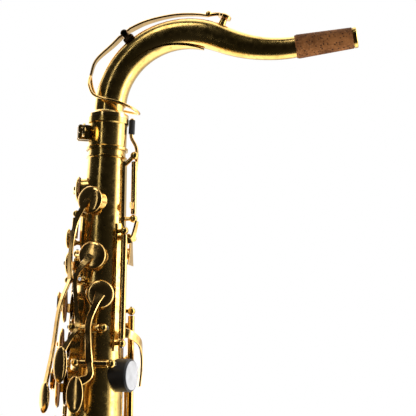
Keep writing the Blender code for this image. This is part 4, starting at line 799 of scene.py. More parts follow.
# Clamping rings over the two joints
for name, tube, along in (("body_bow_ring", body, TUBE_FOOT), ("bow_bell_ring", bell, 0.0)):
    seat = max(tube.radius(along + side * RING_LENGTH / 2) for side in (-1, 1)) + 2 * GAP
    low = along - RING_LENGTH / 2
    high = along + RING_LENGTH / 2
    band = sleeve(seat, seat + RING_WALL, low, high, tube.frame, 24)
    lug = block(aim(tube.point(180, along, 4.5 * MM), tube.up(), tube.out(180)),
                (8 * MM, 9 * MM, RING_LENGTH - 4 * MM), 0.8 * MM)
    seat_core = rod(tube.point(0, low - MM) - tube.out(0) * tube.radius(low - MM),
                    tube.point(0, high + MM) - tube.out(0) * tube.radius(high + MM),
                    seat, 24)
    keep(fuse([band, cut(lug, [seat_core])]), name, BRIGHT_BRASS)

# Brace: a ring between two curved feet, which holds the bell off the main tube
BRACE_HEIGHT = 395 * MM

brace_along = (BRACE_HEIGHT - bell_foot.z) / bell_axis.z

BRACE_ANGLE = 172

tube_side = body.point(BRACE_ANGLE, BRACE_HEIGHT)
bell_skin = bell.point(0, brace_along)
bell_skin_up = bell.point(0, brace_along + 9 * MM) - bell.point(0, brace_along - 9 * MM)
middle = (tube_side + bell_skin) / 2

BRACE_RING = 11 * MM

ring_path = [middle + Vector((BRACE_RING * math.cos(2 * math.pi * i / 14), 0,
                              BRACE_RING * math.sin(2 * math.pi * i / 14)))
             for i in range(14)]
brace = fuse([
    wire(ring_path, 2.6 * MM, loop=True),
    rod(middle + Vector((BRACE_RING, 0, 0)), tube_side + Vector((2 * MM, 0, 0)), 2.6 * MM),
    rod(middle - Vector((BRACE_RING, 0, 0)), bell_skin - Vector((2 * MM, 0, 0)), 2.6 * MM),
    block(aim(tube_side, Vector((0, 0, 1)), body.out(BRACE_ANGLE)),
          (4 * MM, 11 * MM, 22 * MM), MM),
    block(aim(bell_skin, bell_skin_up, bell.out(0)), (6 * MM, 18 * MM, 24 * MM), MM),
])
keep(cut(brace, [body.clearance(), bell.clearance()]), "bell_brace", AGED_BRASS)


# ---------------------------------------------------------------- neck
# The neck is a bent, tapering brass tube on a turned tenon, with a cork sleeve glued round
# its mouthpiece end and a plate soldered along the inside of its bend. Its octave key hinges
# on a saddle over the bend and ends in a wire loop round the tenon.

# Neck: a bend up and over, a shallow bend back, and a straight end under the cork
NECK_BEND = 64 * MM

NECK_FOOT = RECEIVER_TOP - 8 * MM        # the neck tube starts inside the tenon
NECK_SPRING = RECEIVER_TOP + 9 * MM      # height where its bend begins

VENT_ANGLE = 70.5            # where the octave vent stands on the first bend

vent_length = NECK_SPRING - NECK_FOOT + math.radians(180 - VENT_ANGLE) * NECK_BEND

NECK_BASE_RADIUS = 12.0 * MM
NECK_TAPER = (               # (length along the neck, outer radius): full through the bend
    (0.0, NECK_BASE_RADIUS), (135 * MM, 11.5 * MM), (180 * MM, 9.2 * MM), (300 * MM, 6.4 * MM))


def neck_radius(length):
    for (near, wide), (far, narrow) in zip(NECK_TAPER, NECK_TAPER[1:]):
        if length <= far:
            return wide + (narrow - wide) * (length - near) / (far - near)


vent_skin = NECK_BEND + neck_radius(vent_length)


def heading(degrees):
    return Vector((math.cos(math.radians(degrees)), 0, math.sin(math.radians(degrees))))


def polar(distance, angle, aside=0.0):
    """A point by distance and angle round the centre of the neck's first bend."""
    return Vector((NECK_BEND, aside, NECK_SPRING)) + heading(angle) * distance


VENT_RISE = 5.0 * MM

nipple = rod(polar(vent_skin - 2 * MM, VENT_ANGLE),
             polar(vent_skin + VENT_RISE, VENT_ANGLE), 3.4 * MM, 12, 2.6 * MM)
nipple_hole = rod(polar(NECK_BEND, VENT_ANGLE),
                  polar(vent_skin + VENT_RISE + MM, VENT_ANGLE), 1.4 * MM, 8)

NECK_BACK_BEND = 110 * MM
NECK_DIP = -22.5             # heading after the first bend, degrees above +X
NECK_RISE = 9.5              # heading at the mouthpiece end
NECK_STRAIGHT = 50 * MM


def neck_place(length):
    """Centre point and heading at a length along the neck tube's centre line."""
    rise = NECK_SPRING - NECK_FOOT
    if length <= rise:
        return Vector((0, 0, NECK_FOOT + length)), 90.0
    centre = Vector((NECK_BEND, 0, NECK_SPRING))
    turned_by = min(math.degrees((length - rise) / NECK_BEND), 90 - NECK_DIP)
    facing = 90 - turned_by
    place = centre + heading(facing + 90) * NECK_BEND
    left = length - rise - math.radians(90 - NECK_DIP) * NECK_BEND
    if left <= 0:
        return place, facing
    centre = place + heading(facing + 90) * NECK_BACK_BEND
    turned_by = min(math.degrees(left / NECK_BACK_BEND), NECK_RISE - NECK_DIP)
    facing = NECK_DIP + turned_by
    place = centre - heading(facing + 90) * NECK_BACK_BEND
    left -= math.radians(NECK_RISE - NECK_DIP) * NECK_BACK_BEND
    if left > 0:
        place = place + heading(NECK_RISE) * left
    return place, facing


NECK_LENGTH = (NECK_SPRING - NECK_FOOT + math.radians(90 - NECK_DIP) * NECK_BEND
               + math.radians(NECK_RISE - NECK_DIP) * NECK_BACK_BEND + NECK_STRAIGHT)


def neck_frame(length):
    """A frame at the centre line: Z along the tube, X to the outside of the first bend."""
    place, facing = neck_place(length)
    return aim(place, heading(facing), heading(facing + 90))


tip = neck_frame(NECK_LENGTH)

TIP_RING = 3.2 * MM          # length of the ring round the open end
TIP_RING_RADIUS = 8.4 * MM

tip_ring = turned([(0, 0), (TIP_RING_RADIUS, 0), (TIP_RING_RADIUS, -TIP_RING), (0, -TIP_RING)],
                  tip, 20)


def neck_solid(grow=0.0, overrun=0.0, start=0.0, end=NECK_LENGTH, fineness=6):
    """The neck's outer shape, grown by a distance and run on past its ends."""
    count = 48
    lengths = [start + (end - start) * i / count for i in range(count + 1)]
    points = [neck_place(length)[0] for length in lengths]
    points[0] = points[0] - heading(neck_place(start)[1]) * overrun
    points[-1] = points[-1] + heading(neck_place(end)[1]) * overrun
    radii = [neck_radius(length) + grow for length in lengths]
    return wire(points, radii[0], radii=radii, fineness=22, smooth=1)


neck = carve(fuse([neck_solid()]), [neck_solid(-WALL - 0.4 * MM, MM)])
drop([nipple_hole, tip_ring])
tip_band = lathe([(neck_radius(NECK_LENGTH) - MM, 0), (TIP_RING_RADIUS - 0.5 * MM, 0),
                  (TIP_RING_RADIUS, -0.5 * MM), (TIP_RING_RADIUS, -TIP_RING + 0.5 * MM),
                  (TIP_RING_RADIUS - 0.5 * MM, -TIP_RING), (neck_radius(NECK_LENGTH), -TIP_RING)],
                 tip, 64, ring=True)
keep(fuse([neck, nipple, tip_band]), "neck_tube", AGED_BRASS)

# Tenon and collar, soldered round the foot of the neck tube
neck_seat = NECK_BASE_RADIUS + GAP
base = RECEIVER_TOP + GAP

COLLAR_HEIGHT = 5.5 * MM

collar_top = base + COLLAR_HEIGHT

TENON_LENGTH = 21 * MM

tenon_foot = base - TENON_LENGTH + 4 * MM

COLLAR_RADIUS = 16.2 * MM

keep(turned([(neck_seat + 0.7 * MM, collar_top), (neck_seat + 1.6 * MM, collar_top - MM),
             (neck_seat + 2.2 * MM, collar_top - 2 * MM), (COLLAR_RADIUS, base + 3 * MM),
             (COLLAR_RADIUS, base), (TENON_RADIUS, base), (TENON_RADIUS, tenon_foot),
             (neck_seat, tenon_foot), (neck_seat, collar_top)], steps=20, ring=True),
     "neck_tenon", BRIGHT_BRASS)

# Cork sleeve, up to the short ring on the mouthpiece end
cork_end = -TIP_RING - GAP

CORK_LENGTH = 46 * MM

bore_start = neck_radius(NECK_LENGTH - CORK_LENGTH) + GAP
bore_end = neck_radius(NECK_LENGTH) + GAP

CORK_START_RADIUS = 9.7 * MM
CORK_END_RADIUS = 8.5 * MM


def cork_finish():
    material, tree, shader = nodes_of("cork")
    place = tree.nodes.new("ShaderNodeTexCoord").outputs["Object"]
    pits = tree.nodes.new("ShaderNodeTexVoronoi")
    pits.inputs["Scale"].default_value = 420
    tree.links.new(place, pits.inputs["Vector"])
    grain = noise(tree, place, 700, 4, 0.7)
    broad = noise(tree, place, 90, 5, 0.6)
    base = ramp(tree, broad, [(0.35, (0.1, 0.034, 0.009)), (0.65, (0.29, 0.115, 0.035))])
    pit = ramp(tree, pits.outputs["Distance"], [(0.18, (1.0,)), (0.36, (0.0,))])
    colour = blend_colours(tree, pit, base, (0.03, 0.01, 0.004))
    fleck = ramp(tree, grain, [(0.5, (0.0,)), (0.7, (0.6,))])
    colour = blend_colours(tree, fleck, colour, (0.42, 0.19, 0.07))
    tree.links.new(colour, shader.inputs["Base Color"])
    shader.inputs["Roughness"].default_value = 0.8
    shader.inputs["Specular IOR Level"].default_value = 0.15
    bump(tree, shader, ramp(tree, pits.outputs["Distance"], [(0.05, (0.0,)), (0.35, (1.0,))]),
         0.5, 0.0008)
    return material


CORK = cork_finish()

keep(turned([(CORK_END_RADIUS, cork_end), (CORK_START_RADIUS, cork_end - CORK_LENGTH + 2 * MM),
             (CORK_START_RADIUS - 0.7 * MM, cork_end - CORK_LENGTH),
             (bore_start, cork_end - CORK_LENGTH), (bore_end, cork_end)],
            tip, 20, ring=True), "neck_cork", CORK)

# Plate soldered under the bend, which runs out to a point before the cork
PLATE_START = 20 * MM
PLATE_END = 132 * MM
PLATE_SPREAD = 78.0          # half angle that it wraps round the tube
PLATE_THICKNESS = 1.1 * MM


def wrapped_plate(start, end, stations=48, slices=24):
    """A thin saddle on the inside of the bend, lofted from arcs that narrow to a point."""
    shape = bmesh.new()
    rows = []
    for i in range(stations + 1):
        share = i / stations
        length = start + (end - start) * share
        spread = math.radians(PLATE_SPREAD) * (1 - 0.94 * share ** 1.6)
        frame = neck_frame(length)
        inner = neck_radius(length) + 2.2 * GAP
        row = []
        for radius in (inner, inner + PLATE_THICKNESS):
            for k in range(slices + 1):
                turn = math.pi + spread * (2 * k / slices - 1)
                row.append(shape.verts.new(frame @ Vector((radius * math.cos(turn),
                                                           radius * math.sin(turn), 0))))
        rows.append(row)
    count = slices + 1
    edge = list(range(count)) + list(range(2 * count - 1, count - 1, -1))
    for near, far in zip(rows, rows[1:]):
        for a, b in zip(edge, edge[1:] + edge[:1]):
            shape.faces.new((near[a], near[b], far[b], far[a]))
    for row in (rows[0], rows[-1]):
        for k in range(slices):
            shape.faces.new((row[k], row[k + 1], row[count + k + 1], row[count + k]))
    bmesh.ops.recalc_face_normals(shape, faces=shape.faces)
    return from_bmesh(shape)


keep(wrapped_plate(PLATE_START, PLATE_END), "neck_underside_plate", AGED_BRASS)

HINGE_ANGLE = 131.0
HINGE_REACH = 81 * MM        # from the bend's centre to the octave key's hinge

# Saddle on top of the bend that carries the octave key's hinge between two posts
hinge = polar(HINGE_REACH, HINGE_ANGLE)
HINGE_HALF = 5.5 * MM        # half length of the octave key's hinge tube
post_aside = HINGE_HALF + GAP + 1.5 * MM
hinge_skin = NECK_BEND + neck_radius(vent_length)
saddle_frame = aim(polar(hinge_skin, HINGE_ANGLE), heading(HINGE_ANGLE), Vector((0, 1, 0)))
saddle = [block(saddle_frame, (2 * post_aside + 4 * MM, 9 * MM, 4 * MM), 0.8 * MM)]
for way in (-1, 1):
    aside = Vector((0, way * post_aside, 0))
    saddle.append(block(aim(polar(hinge_skin + 3 * MM, HINGE_ANGLE) + aside,
                            heading(HINGE_ANGLE), Vector((0, 1, 0))),
                        (3 * MM, 5 * MM, 10 * MM), 0.6 * MM))
    saddle.append(rod(hinge + aside - Vector((0, 1.5 * MM, 0)),
                      hinge + aside + Vector((0, 1.5 * MM, 0)), 3.0 * MM))

DARK_BRASS = worn_brass("dark_brass", (0.2, 0.115, 0.06), (0.1, 0.055, 0.03),
                        (0.045, 0.025, 0.016), 0.6, 0.2)

keep(cut(fuse(saddle), [neck_solid(GAP, fineness=8)]), "neck_octave_saddle", DARK_BRASS)

sideways = Vector((0, 1, 0))
octave_cup_frame = aim(polar(vent_skin + VENT_RISE + GAP, VENT_ANGLE), heading(VENT_ANGLE))
octave_cup = turned([(0, 3.4 * MM), (4.2 * MM, 3.2 * MM), (5.4 * MM, 2.2 * MM), (5.4 * MM, 0),
                     (0, 0)], octave_cup_frame, 16)
strap_path = ((127, 1.6), (118, 0.4), (108, -1.0), (98, -1.6), (88, -1.8), (80, -1.6))

ARM_THICKNESS = 1.8 * MM


def arm(points, normals, widths, thickness=ARM_THICKNESS):
    """A forged strap through the points; each normal says which way its face looks."""
    if len(points) > 2:
        points = spline(points, 5)
        normals = spline(normals, 5)
        widths = spline(widths, 5)
    shape = bmesh.new()
    rings = []
    for i, place in enumerate(points):
        along = points[min(i + 1, len(points) - 1)] - points[max(i - 1, 0)]
        across = along.cross(normals[i]).normalized()
        out = across.cross(along).normalized() * thickness / 2
        half = across * widths[i] / 2
        edge = across * min(0.5 * MM, widths[i] / 4)
        corners = (half - edge + out, half + out * 0.4, half - out * 0.4, half - edge - out,
                   edge - half - out, -half - out * 0.4, out * 0.4 - half, edge - half + out)
        rings.append([shape.verts.new(place + corner) for corner in corners])
    for near, far in zip(rings, rings[1:]):
        for k in range(8):
            shape.faces.new((near[k], near[(k + 1) % 8], far[(k + 1) % 8], far[k]))
    shape.faces.new(rings[0])
    shape.faces.new(list(reversed(rings[-1])))
    return from_bmesh(shape)


strap = arm([polar(HINGE_REACH + lift * MM, angle) for angle, lift in strap_path],
            [heading(angle) for angle, _ in strap_path],
            [10 * MM, 9 * MM, 7.5 * MM, 6 * MM, 5 * MM, 4 * MM])


def ball(centre, radius, stretch=Matrix()):
    shape = bmesh.new()
    bmesh.ops.create_uvsphere(shape, u_segments=20, v_segments=12, radius=radius)
    return from_bmesh(shape, Matrix.Translation(centre) @ stretch)


strap_post = ball(polar(HINGE_REACH, 80), 2.6 * MM)
cup_stem = wire([polar(HINGE_REACH - MM, 80), polar(HINGE_REACH + 1.5 * MM, 75),
                 polar(vent_skin + VENT_RISE + 3 * MM, VENT_ANGLE)], 1.5 * MM)
loop_base = NECK_SPRING - 4 * MM
loop_top = Vector((-16.5 * MM, 0, loop_base + 31 * MM))

# Octave key: pad cup, strap over the bend, hinge tube, and the loop down round the neck
STRAP_REACH = HINGE_REACH + 1.6 * MM

tail = arm([polar(STRAP_REACH, 134), polar(STRAP_REACH, 140),
            Vector((-12.5 * MM, 0, loop_base + 44 * MM)), loop_top],
           [heading(134), heading(140), heading(155), heading(160)],
           [10 * MM, 9 * MM, 6 * MM, 4 * MM])
bridge = arm([polar(STRAP_REACH, 126), polar(STRAP_REACH, 131), polar(STRAP_REACH, 136)],
             [heading(126), heading(131), heading(136)], [8.5 * MM] * 3)
half_loop = [(-16.5, 0, 31), (-16.5, 5, 26), (-15, 10, 20), (-10, 15.5, 12), (0, 18, 8),
             (10, 16.5, 6), (18, 12, 3.5), (23, 6, 1.5), (24.5, 0, 0.5)]
near_side = [Vector((x, -y, z)) * MM for x, y, z in half_loop]
far_side = [Vector((x, y, z)) * MM for x, y, z in half_loop[-2:0:-1]]
loop = wire([Vector((0, 0, loop_base)) + place for place in near_side + far_side],
            1.15 * MM, loop=True)
hinge_tube = rod(hinge - sideways * HINGE_HALF, hinge + sideways * HINGE_HALF, 2.8 * MM)
keep(fuse([hinge_tube, bridge, strap, tail, octave_cup, cup_stem, strap_post, loop]),
     "neck_octave_key", AGED_BRASS, hinge, -sideways, travel=4)


# ---------------------------------------------------------------- upper stack
# The left hand's keys turn on one steel rod, held by ball posts on a long rib soldered to
# the tube. Each is a hinge tube with a forged strap to a cup, which holds a leather pad
# with a riveted brass disc in its middle.

LIFT = 7.5 * MM              # height of the hinge tubes over the tube's skin


def rod_line(tube, angle, low, high, lift=LIFT):
    """The two ends of a hinge line that follows the tube's slope."""
    return tube.point(angle, low, lift), tube.point(angle, high, lift)


UPPER_ROD_ANGLE = 150
UPPER_LIFT = 9 * MM
UPPER_POSTS = (414 * MM, 489 * MM, 582 * MM)
upper_line = rod_line(body, UPPER_ROD_ANGLE, UPPER_POSTS[0] - 4 * MM, UPPER_POSTS[-1] + 4 * MM,
                      UPPER_LIFT)

POST_BALL = 3.2 * MM
POST_STEM = 1.7 * MM

PIN = 1.1 * MM               # radius of the stack rods
RIB_HEIGHT = 1.6 * MM

pivots = []                  # (ball's centre, the way its screw faces)


def rib(name, tube, angle, low, high, posts, width=6 * MM, bores=(), more=()):
    """A strap soldered along the tube with ball-topped posts that carry the hinge tubes.

    Each post is (height along the tube, angle and lift of its ball).
    """
    heights = (low, high)
    middle = (RIB_HEIGHT - 2.5 * MM) / 2
    strap = arm([tube.point(angle, h, middle) for h in heights],
                [tube.out(angle)] * 2, [width] * 2, RIB_HEIGHT + 2.5 * MM)
    pieces = [strap] + list(more)
    for number, (height, ball_angle, lift) in enumerate(posts):
        top = tube.point(ball_angle, height, lift)
        if (name, number) != ("low_b_rib", 1):      # the low B flat crank passes there
            pivots.append((top, tube.up() * (1 if number % 2 else -1)))
        base = angle + max(-6, min(6, ball_angle - angle))
        pieces.append(rod(tube.point(base, height, 0), top, POST_STEM, 8))
        pieces.append(ball(top, POST_BALL))
    return keep(cut(fuse(pieces), [tube.clearance()] + list(bores)), name, AGED_BRASS)


def pin_core(line, grow=0.0, overrun=0.0):
    along = (line[1] - line[0]).normalized() * overrun
    return rod(line[0] - along, line[1] + along, PIN + grow, 8)


UPPER_RIB_ANGLE = 145

HIGH_E_ROD = 127
HIGH_E_POSTS = (446 * MM, 652 * MM)
rib("upper_stack_rib", body, UPPER_RIB_ANGLE, 408 * MM, 657 * MM,
    [(height, UPPER_ROD_ANGLE, UPPER_LIFT) for height in UPPER_POSTS]
    + [(height, HIGH_E_ROD, LIFT) for height in HIGH_E_POSTS], 5 * MM,
    bores=[pin_core(upper_line, GAP, 2 * MM)])


def simple_finish(name, colour, metallic, roughness, grain_scale=500, grain=0.1):
    material, tree, shader = nodes_of(name)
    place = tree.nodes.new("ShaderNodeTexCoord").outputs["Object"]
    speckle = noise(tree, place, grain_scale, 5, 0.6)
    darker = tuple(c * 0.7 for c in colour)
    tree.links.new(ramp(tree, speckle, [(0.3, darker), (0.7, colour)]),
                   shader.inputs["Base Color"])
    shader.inputs["Metallic"].default_value = metallic
    tree.links.new(ramp(tree, speckle, [(0.3, (roughness,)), (0.8, (roughness + 0.15,))]),
                   shader.inputs["Roughness"])
    bump(tree, shader, speckle, grain, 0.0003)
    return material


STEEL = simple_finish("steel", (0.5, 0.5, 0.5), 1.0, 0.25)

keep(pin_core(upper_line), "upper_stack_pin", STEEL)

CUP_OVERLAP = 2.6 * MM       # cup radius over hole radius
CUP_HEIGHT = 4.4 * MM
BARREL = 2.6 * MM            # outer radius of a hinge tube


def leather_finish(name, light, dark):
    material, tree, shader = nodes_of(name)
    place = tree.nodes.new("ShaderNodeTexCoord").outputs["Object"]
    broad = noise(tree, place, 120, 5, 0.6)
    grain = noise(tree, place, 1500, 3, 0.5)
    tree.links.new(ramp(tree, broad, [(0.3, dark), (0.7, light)]), shader.inputs["Base Color"])
    shader.inputs["Roughness"].default_value = 0.6
    bump(tree, shader, grain, 0.3, 0.0002)
    return material


LEATHER = leather_finish("leather", (0.5, 0.27, 0.13), (0.3, 0.14, 0.06))


def rim_centre(tube, hole):
    angle, along, _ = hole
    return tube.point(angle, along, CHIMNEY)


def after(post):
    return post + POST_BALL + GAP


def before(post):
    return post - POST_BALL - GAP


def on_line(line, tube, along):
    """The point of a hinge line level with a height along its tube."""
    low, high = line
    up = tube.up()
    share = (along - (low - tube.frame.translation).dot(up)) / (high - low).dot(up)
    return low + (high - low) * share


PAD_FACE = 1.3 * MM


def cup(rim, out, radius):
    """A shallow pressed key cup with a rounded shoulder; the pad shows under its edge."""
    return lathe([(0, CUP_HEIGHT - 0.1 * MM), (radius * 0.35, CUP_HEIGHT - 0.15 * MM),
                  (radius * 0.7, CUP_HEIGHT - 0.6 * MM), (radius * 0.9, CUP_HEIGHT - 1.3 * MM),
                  (radius * 0.97, CUP_HEIGHT - 2.0 * MM), (radius, CUP_HEIGHT - 2.7 * MM),
                  (radius, PAD_FACE + 0.2 * MM), (radius - 0.3 * MM, PAD_FACE),
                  (radius - 0.9 * MM, PAD_FACE), (radius - 0.9 * MM, PAD_FACE + 0.8 * MM),
                  (0, PAD_FACE + 0.8 * MM)], aim(rim + out * GAP, out), 56)


def pad(name, rim, out, radius, place):
    """A felt pad in thin leather, with a riveted disc in the middle of the larger ones."""
    seat = aim(rim + out * GAP, out)
    soft = lathe([(0, PAD_FACE + 0.7 * MM), (radius - MM, PAD_FACE + 0.7 * MM),
                  (radius - 0.7 * MM, PAD_FACE), (radius - 0.9 * MM, 0.5 * MM),
                  (radius - 1.6 * MM, 0.1 * MM), (radius - 3 * MM, 0), (0, 0)], seat, 48)
    finish(soft, "pad_" + name, LEATHER, place, bodies_of[name])
    if radius > 11 * MM:
        disc = lathe([(0, 0), (radius * 0.45, 0), (radius * 0.5, -0.3 * MM),
                      (radius * 0.3, -0.55 * MM), (0, -0.6 * MM)],
                     aim(rim + out * (GAP + 0.05 * MM), out), 40)
        finish(disc, "disc_" + name, KEY_BRASS, place, bodies_of[name])


def cup_arm(start, rim, out, start_out, radius, width=6 * MM, rise=0.0):
    """A strap from a hinge tube to the middle of a cup, over the cup's edge; it may arch."""
    top = rim + out * (GAP + CUP_HEIGHT)
    inward = (start - top)
    inward = (inward - out * inward.dot(out)).normalized()
    edge = top + inward * radius * 0.75 + out * 0.8 * MM
    middle_out = (out + start_out).normalized()
    foot = start + start_out * BARREL * 0.4
    crown = [(foot + edge) / 2 + middle_out * rise] if rise else []
    return arm([foot] + crown + [edge, top, top - inward * radius * 0.35],
               [middle_out] * len(crown) + [middle_out, out, out, out],
               [width + 2 * MM] + [width] * len(crown) + [width, width * 0.8, width * 0.5])


def swing_sign(axis, hinge_point, rim, out):
    """+1 where a positive turn about the axis lifts the cup off its rim."""
    return 1 if axis.cross(rim - hinge_point).dot(out) > 0 else -1


def stack_key(name, tube, line, low, high, hole, angle, is_open, extras=(), bores=(),
              holes=None, travel_deg=8.0, finish=AGED_BRASS, width=6 * MM, rise=0.0):
    """A key on a hinge line along a tube: hinge tube, arm and cup, and any extras."""
    spot = (holes or BODY_HOLES)[hole]
    rim = rim_centre(tube, spot)
    out = tube.out(spot[0])
    radius = spot[2] / 2 + CUP_OVERLAP
    start = on_line(line, tube, low)
    end = on_line(line, tube, high)
    reach = min(max(spot[1], low + 5 * MM), high - 5 * MM)
    pieces = [rod(start, end, BARREL, 10), cup(rim, out, radius),
              cup_arm(on_line(line, tube, reach), rim, out, tube.out(angle), radius, width,
                      rise)]
    pieces += list(extras)
    axis = (end - start).normalized()
    opening = swing_sign(axis, start, rim, out)
    drop(bores)
    key = keep(fuse(pieces), name, finish, start, axis * (-opening if is_open else opening),
               travel_deg, held_open=travel_deg if is_open else 0.0)
    pad(name, rim, out, radius, open_keys[name])
    return key


def pearl_seat(centre, out, radius=8.5 * MM, height=3.0 * MM):
    """The round brass holder that a finger pearl is set in."""
    return turned([(0, height), (radius - MM, height), (radius, height - MM),
                   (radius * 0.8, 0), (0, 0)], aim(centre, out), 12)


def touch_on_cup(hole, shift):
    """A pearl seat over a cup, shifted along the tube from the cup's middle."""
    out = body.out(BODY_HOLES[hole][0])
    top = rim_centre(body, BODY_HOLES[hole]) + out * (GAP + CUP_HEIGHT - 0.6 * MM)
    place = top + body.up() * shift
    stalk = rod(place - out * 1.5 * MM, place + out * 1.2 * MM, 3.5 * MM, 6)
    return [stalk, pearl_seat(place + out * 0.9 * MM, out)]


UPPER_KEYS = (               # name, hole, barrel's low and high end, pearl shift
    ("upper_g_key", "upper_g", after(UPPER_POSTS[0]), 454 * MM, 4 * MM),
    ("upper_a_key", "upper_a", 454 * MM + GAP, before(UPPER_POSTS[1]), 6 * MM),
    ("bis_key", "bis", after(UPPER_POSTS[1]), 522 * MM, None),
    ("upper_b_key", "upper_b", 522 * MM + GAP, 553 * MM, 3 * MM),
    ("small_c_key", "small_c", 553 * MM + GAP, before(UPPER_POSTS[2]), None),
)
for name, hole, low, high, pearl in UPPER_KEYS:
    extras = touch_on_cup(hole, pearl) if pearl is not None else []
    stack_key(name, body, upper_line, low, high, hole, UPPER_ROD_ANGLE, True, extras,
              [pin_core(upper_line, GAP, 2 * MM)], travel_deg=9.0)


# ---------------------------------------------------------------- lower stack
# The right hand's keys turn on a second steel rod lower down, in the same way. Their large
# cups stand open until a finger closes them.

LOWER_ROD_ANGLE = 135
LOWER_LIFT = 11.5 * MM
LOWER_POSTS = (193 * MM, 288.5 * MM, 378 * MM)
lower_line = rod_line(body, LOWER_ROD_ANGLE, LOWER_POSTS[0] - 4 * MM, LOWER_POSTS[-1] + 4 * MM,
                      LOWER_LIFT)

LOWER_RIB_ANGLE = 130

rib("lower_stack_rib", body, LOWER_RIB_ANGLE, 188 * MM, 384 * MM,
    [(height, LOWER_ROD_ANGLE, LOWER_LIFT) for height in LOWER_POSTS], 5 * MM,
    bores=[pin_core(lower_line, GAP, 2 * MM)])
keep(pin_core(lower_line), "lower_stack_pin", STEEL)

LOWER_KEYS = (
    ("lower_d_key", "lower_d", after(LOWER_POSTS[0]), 243 * MM, 4 * MM),
    ("lower_e_key", "lower_e", 243 * MM + GAP, before(LOWER_POSTS[1]), 4 * MM),
    ("lower_f_key", "lower_f", after(LOWER_POSTS[1]), 332 * MM, 4 * MM),
    ("f_sharp_key", "f_sharp", 332 * MM + GAP, before(LOWER_POSTS[2]), None),
)
for name, hole, low, high, pearl in LOWER_KEYS:
    extras = touch_on_cup(hole, pearl) if pearl is not None else []
    stack_key(name, body, lower_line, low, high, hole, LOWER_ROD_ANGLE, True, extras,
              [pin_core(lower_line, GAP, 2 * MM)], travel_deg=9.0, width=7 * MM)


# ---------------------------------------------------------------- palm keys, left side
# Three keys for the left palm and one for its first finger. Each is a seesaw of cast brass
# on a short hinge across the tube, between two ball posts on a soldered footplate.

front_f_strap = [arm([body.point(224.5, 556 * MM, 0), body.point(224.5, 580 * MM, 0),
                      body.point(213, 590 * MM, 0), body.point(211, 614 * MM, 0)],
                     [body.out(220)] * 4, [3 * MM, 3 * MM, 4 * MM, 4.5 * MM], 3.4 * MM)]

FRONT_F_ANGLE = 211
FRONT_F_LIFT = 6.5 * MM
FRONT_F_POSTS = (588 * MM, 611 * MM)

for height in FRONT_F_POSTS:
    top = body.point(FRONT_F_ANGLE, height, FRONT_F_LIFT)
    front_f_strap += [rod(body.point(FRONT_F_ANGLE, height), top, POST_STEM, 8),
                      ball(top, 2.8 * MM)]

PALM_HINGES = {              # name: (angle, height, lift, half length of the hinge tube)
    "high_f": (224, 558 * MM, 7.5 * MM, 3 * MM),
    "high_eb": (264, 521 * MM, 8 * MM, 9 * MM),
    "high_d": (276, 494 * MM, 8 * MM, 10.4 * MM),
}


def palm_posts(name, key, more=()):
    """A footplate with two ball posts, which carry a palm key's cross-wise hinge tube."""
    angle, height, lift, half = PALM_HINGES[key]
    out = body.out(angle)
    side = body.side(angle)
    hinge_point = body.point(angle, height, lift)
    reach = half + GAP + POST_BALL
    foot = block(aim(body.point(angle, height, -0.5 * MM), Vector((0, 0, 1)), out),
                 (4.2 * MM, 2 * reach * 0.8, 7 * MM), 0.8 * MM)
    pieces = [foot] + list(more)
    for way in (-1, 1):
        top = hinge_point + side * way * reach
        base_point = body.point(angle, height, 0) + side * way * reach * 0.7
        pieces.append(rod(base_point - out * 2 * MM, top, POST_STEM, 8))
        pieces.append(ball(top, POST_BALL))
        pivots.append((top, side * way))
    keep(cut(fuse(pieces), [body.clearance()]), name, AGED_BRASS)


palm_posts("high_f_posts", "high_f", front_f_strap)
palm_posts("high_eb_posts", "high_eb")
palm_posts("high_d_posts", "high_d")


def touch_plate(centre, out, along, long_half, wide_half, thickness=2.4 * MM):
    """A flattened oval pad that a finger or palm presses."""
    frame = aim(centre, out, along)
    shape = bmesh.new()
    bmesh.ops.create_uvsphere(shape, u_segments=32, v_segments=18, radius=1.0)
    shape.transform(Matrix.Diagonal((long_half, wide_half, thickness, 1)))
    return from_bmesh(shape, frame)


def palm_key(name, key, cup_path, touch_path, widths, touch, travel_deg, shift=0.0):
    """A seesaw key: cup above its cross-wise hinge, touch below.

    The paths are (angle, height, lift) points, which start from the hinge tube, shifted
    along it; the touch is (long half, wide half).
    """
    angle, height, lift, half = PALM_HINGES[key]
    spot = BODY_HOLES[key]
    out = body.out(spot[0])
    rim = rim_centre(body, spot)
    radius = spot[2] / 2 + CUP_OVERLAP
    hinge_point = body.point(angle, height, lift)
    side = body.side(angle)
    over = hinge_point + body.out(angle) * BARREL + side * shift
    top = rim + out * (GAP + CUP_HEIGHT + 0.2 * MM)
    up_points = [over] + [body.point(*place) for place in cup_path] + [top]
    up_normals = [body.out(angle)] + [body.out(place[0]) for place in cup_path] + [out]
    down_points = [over] + [body.point(*place) for place in touch_path]
    down_normals = [body.out(angle)] + [body.out(place[0]) for place in touch_path]
    end = down_points[-1]
    end_out = down_normals[-1]
    pieces = [
        rod(hinge_point - side * half, hinge_point + side * half, BARREL, 10),
        cup(rim, out, radius),
        arm(up_points, up_normals, widths[:len(up_points)]),
        arm(down_points, down_normals, widths[-len(down_points):]),
        touch_plate(end - Vector((0, 0, touch[0] * 0.6)), end_out, Vector((0, 0, 1)), *touch),
    ]
    axis = side * swing_sign(side, hinge_point, rim, out)
    keep(fuse(pieces), name, AGED_BRASS, hinge_point, axis, travel_deg)
    pad(name, rim, out, radius, Matrix())


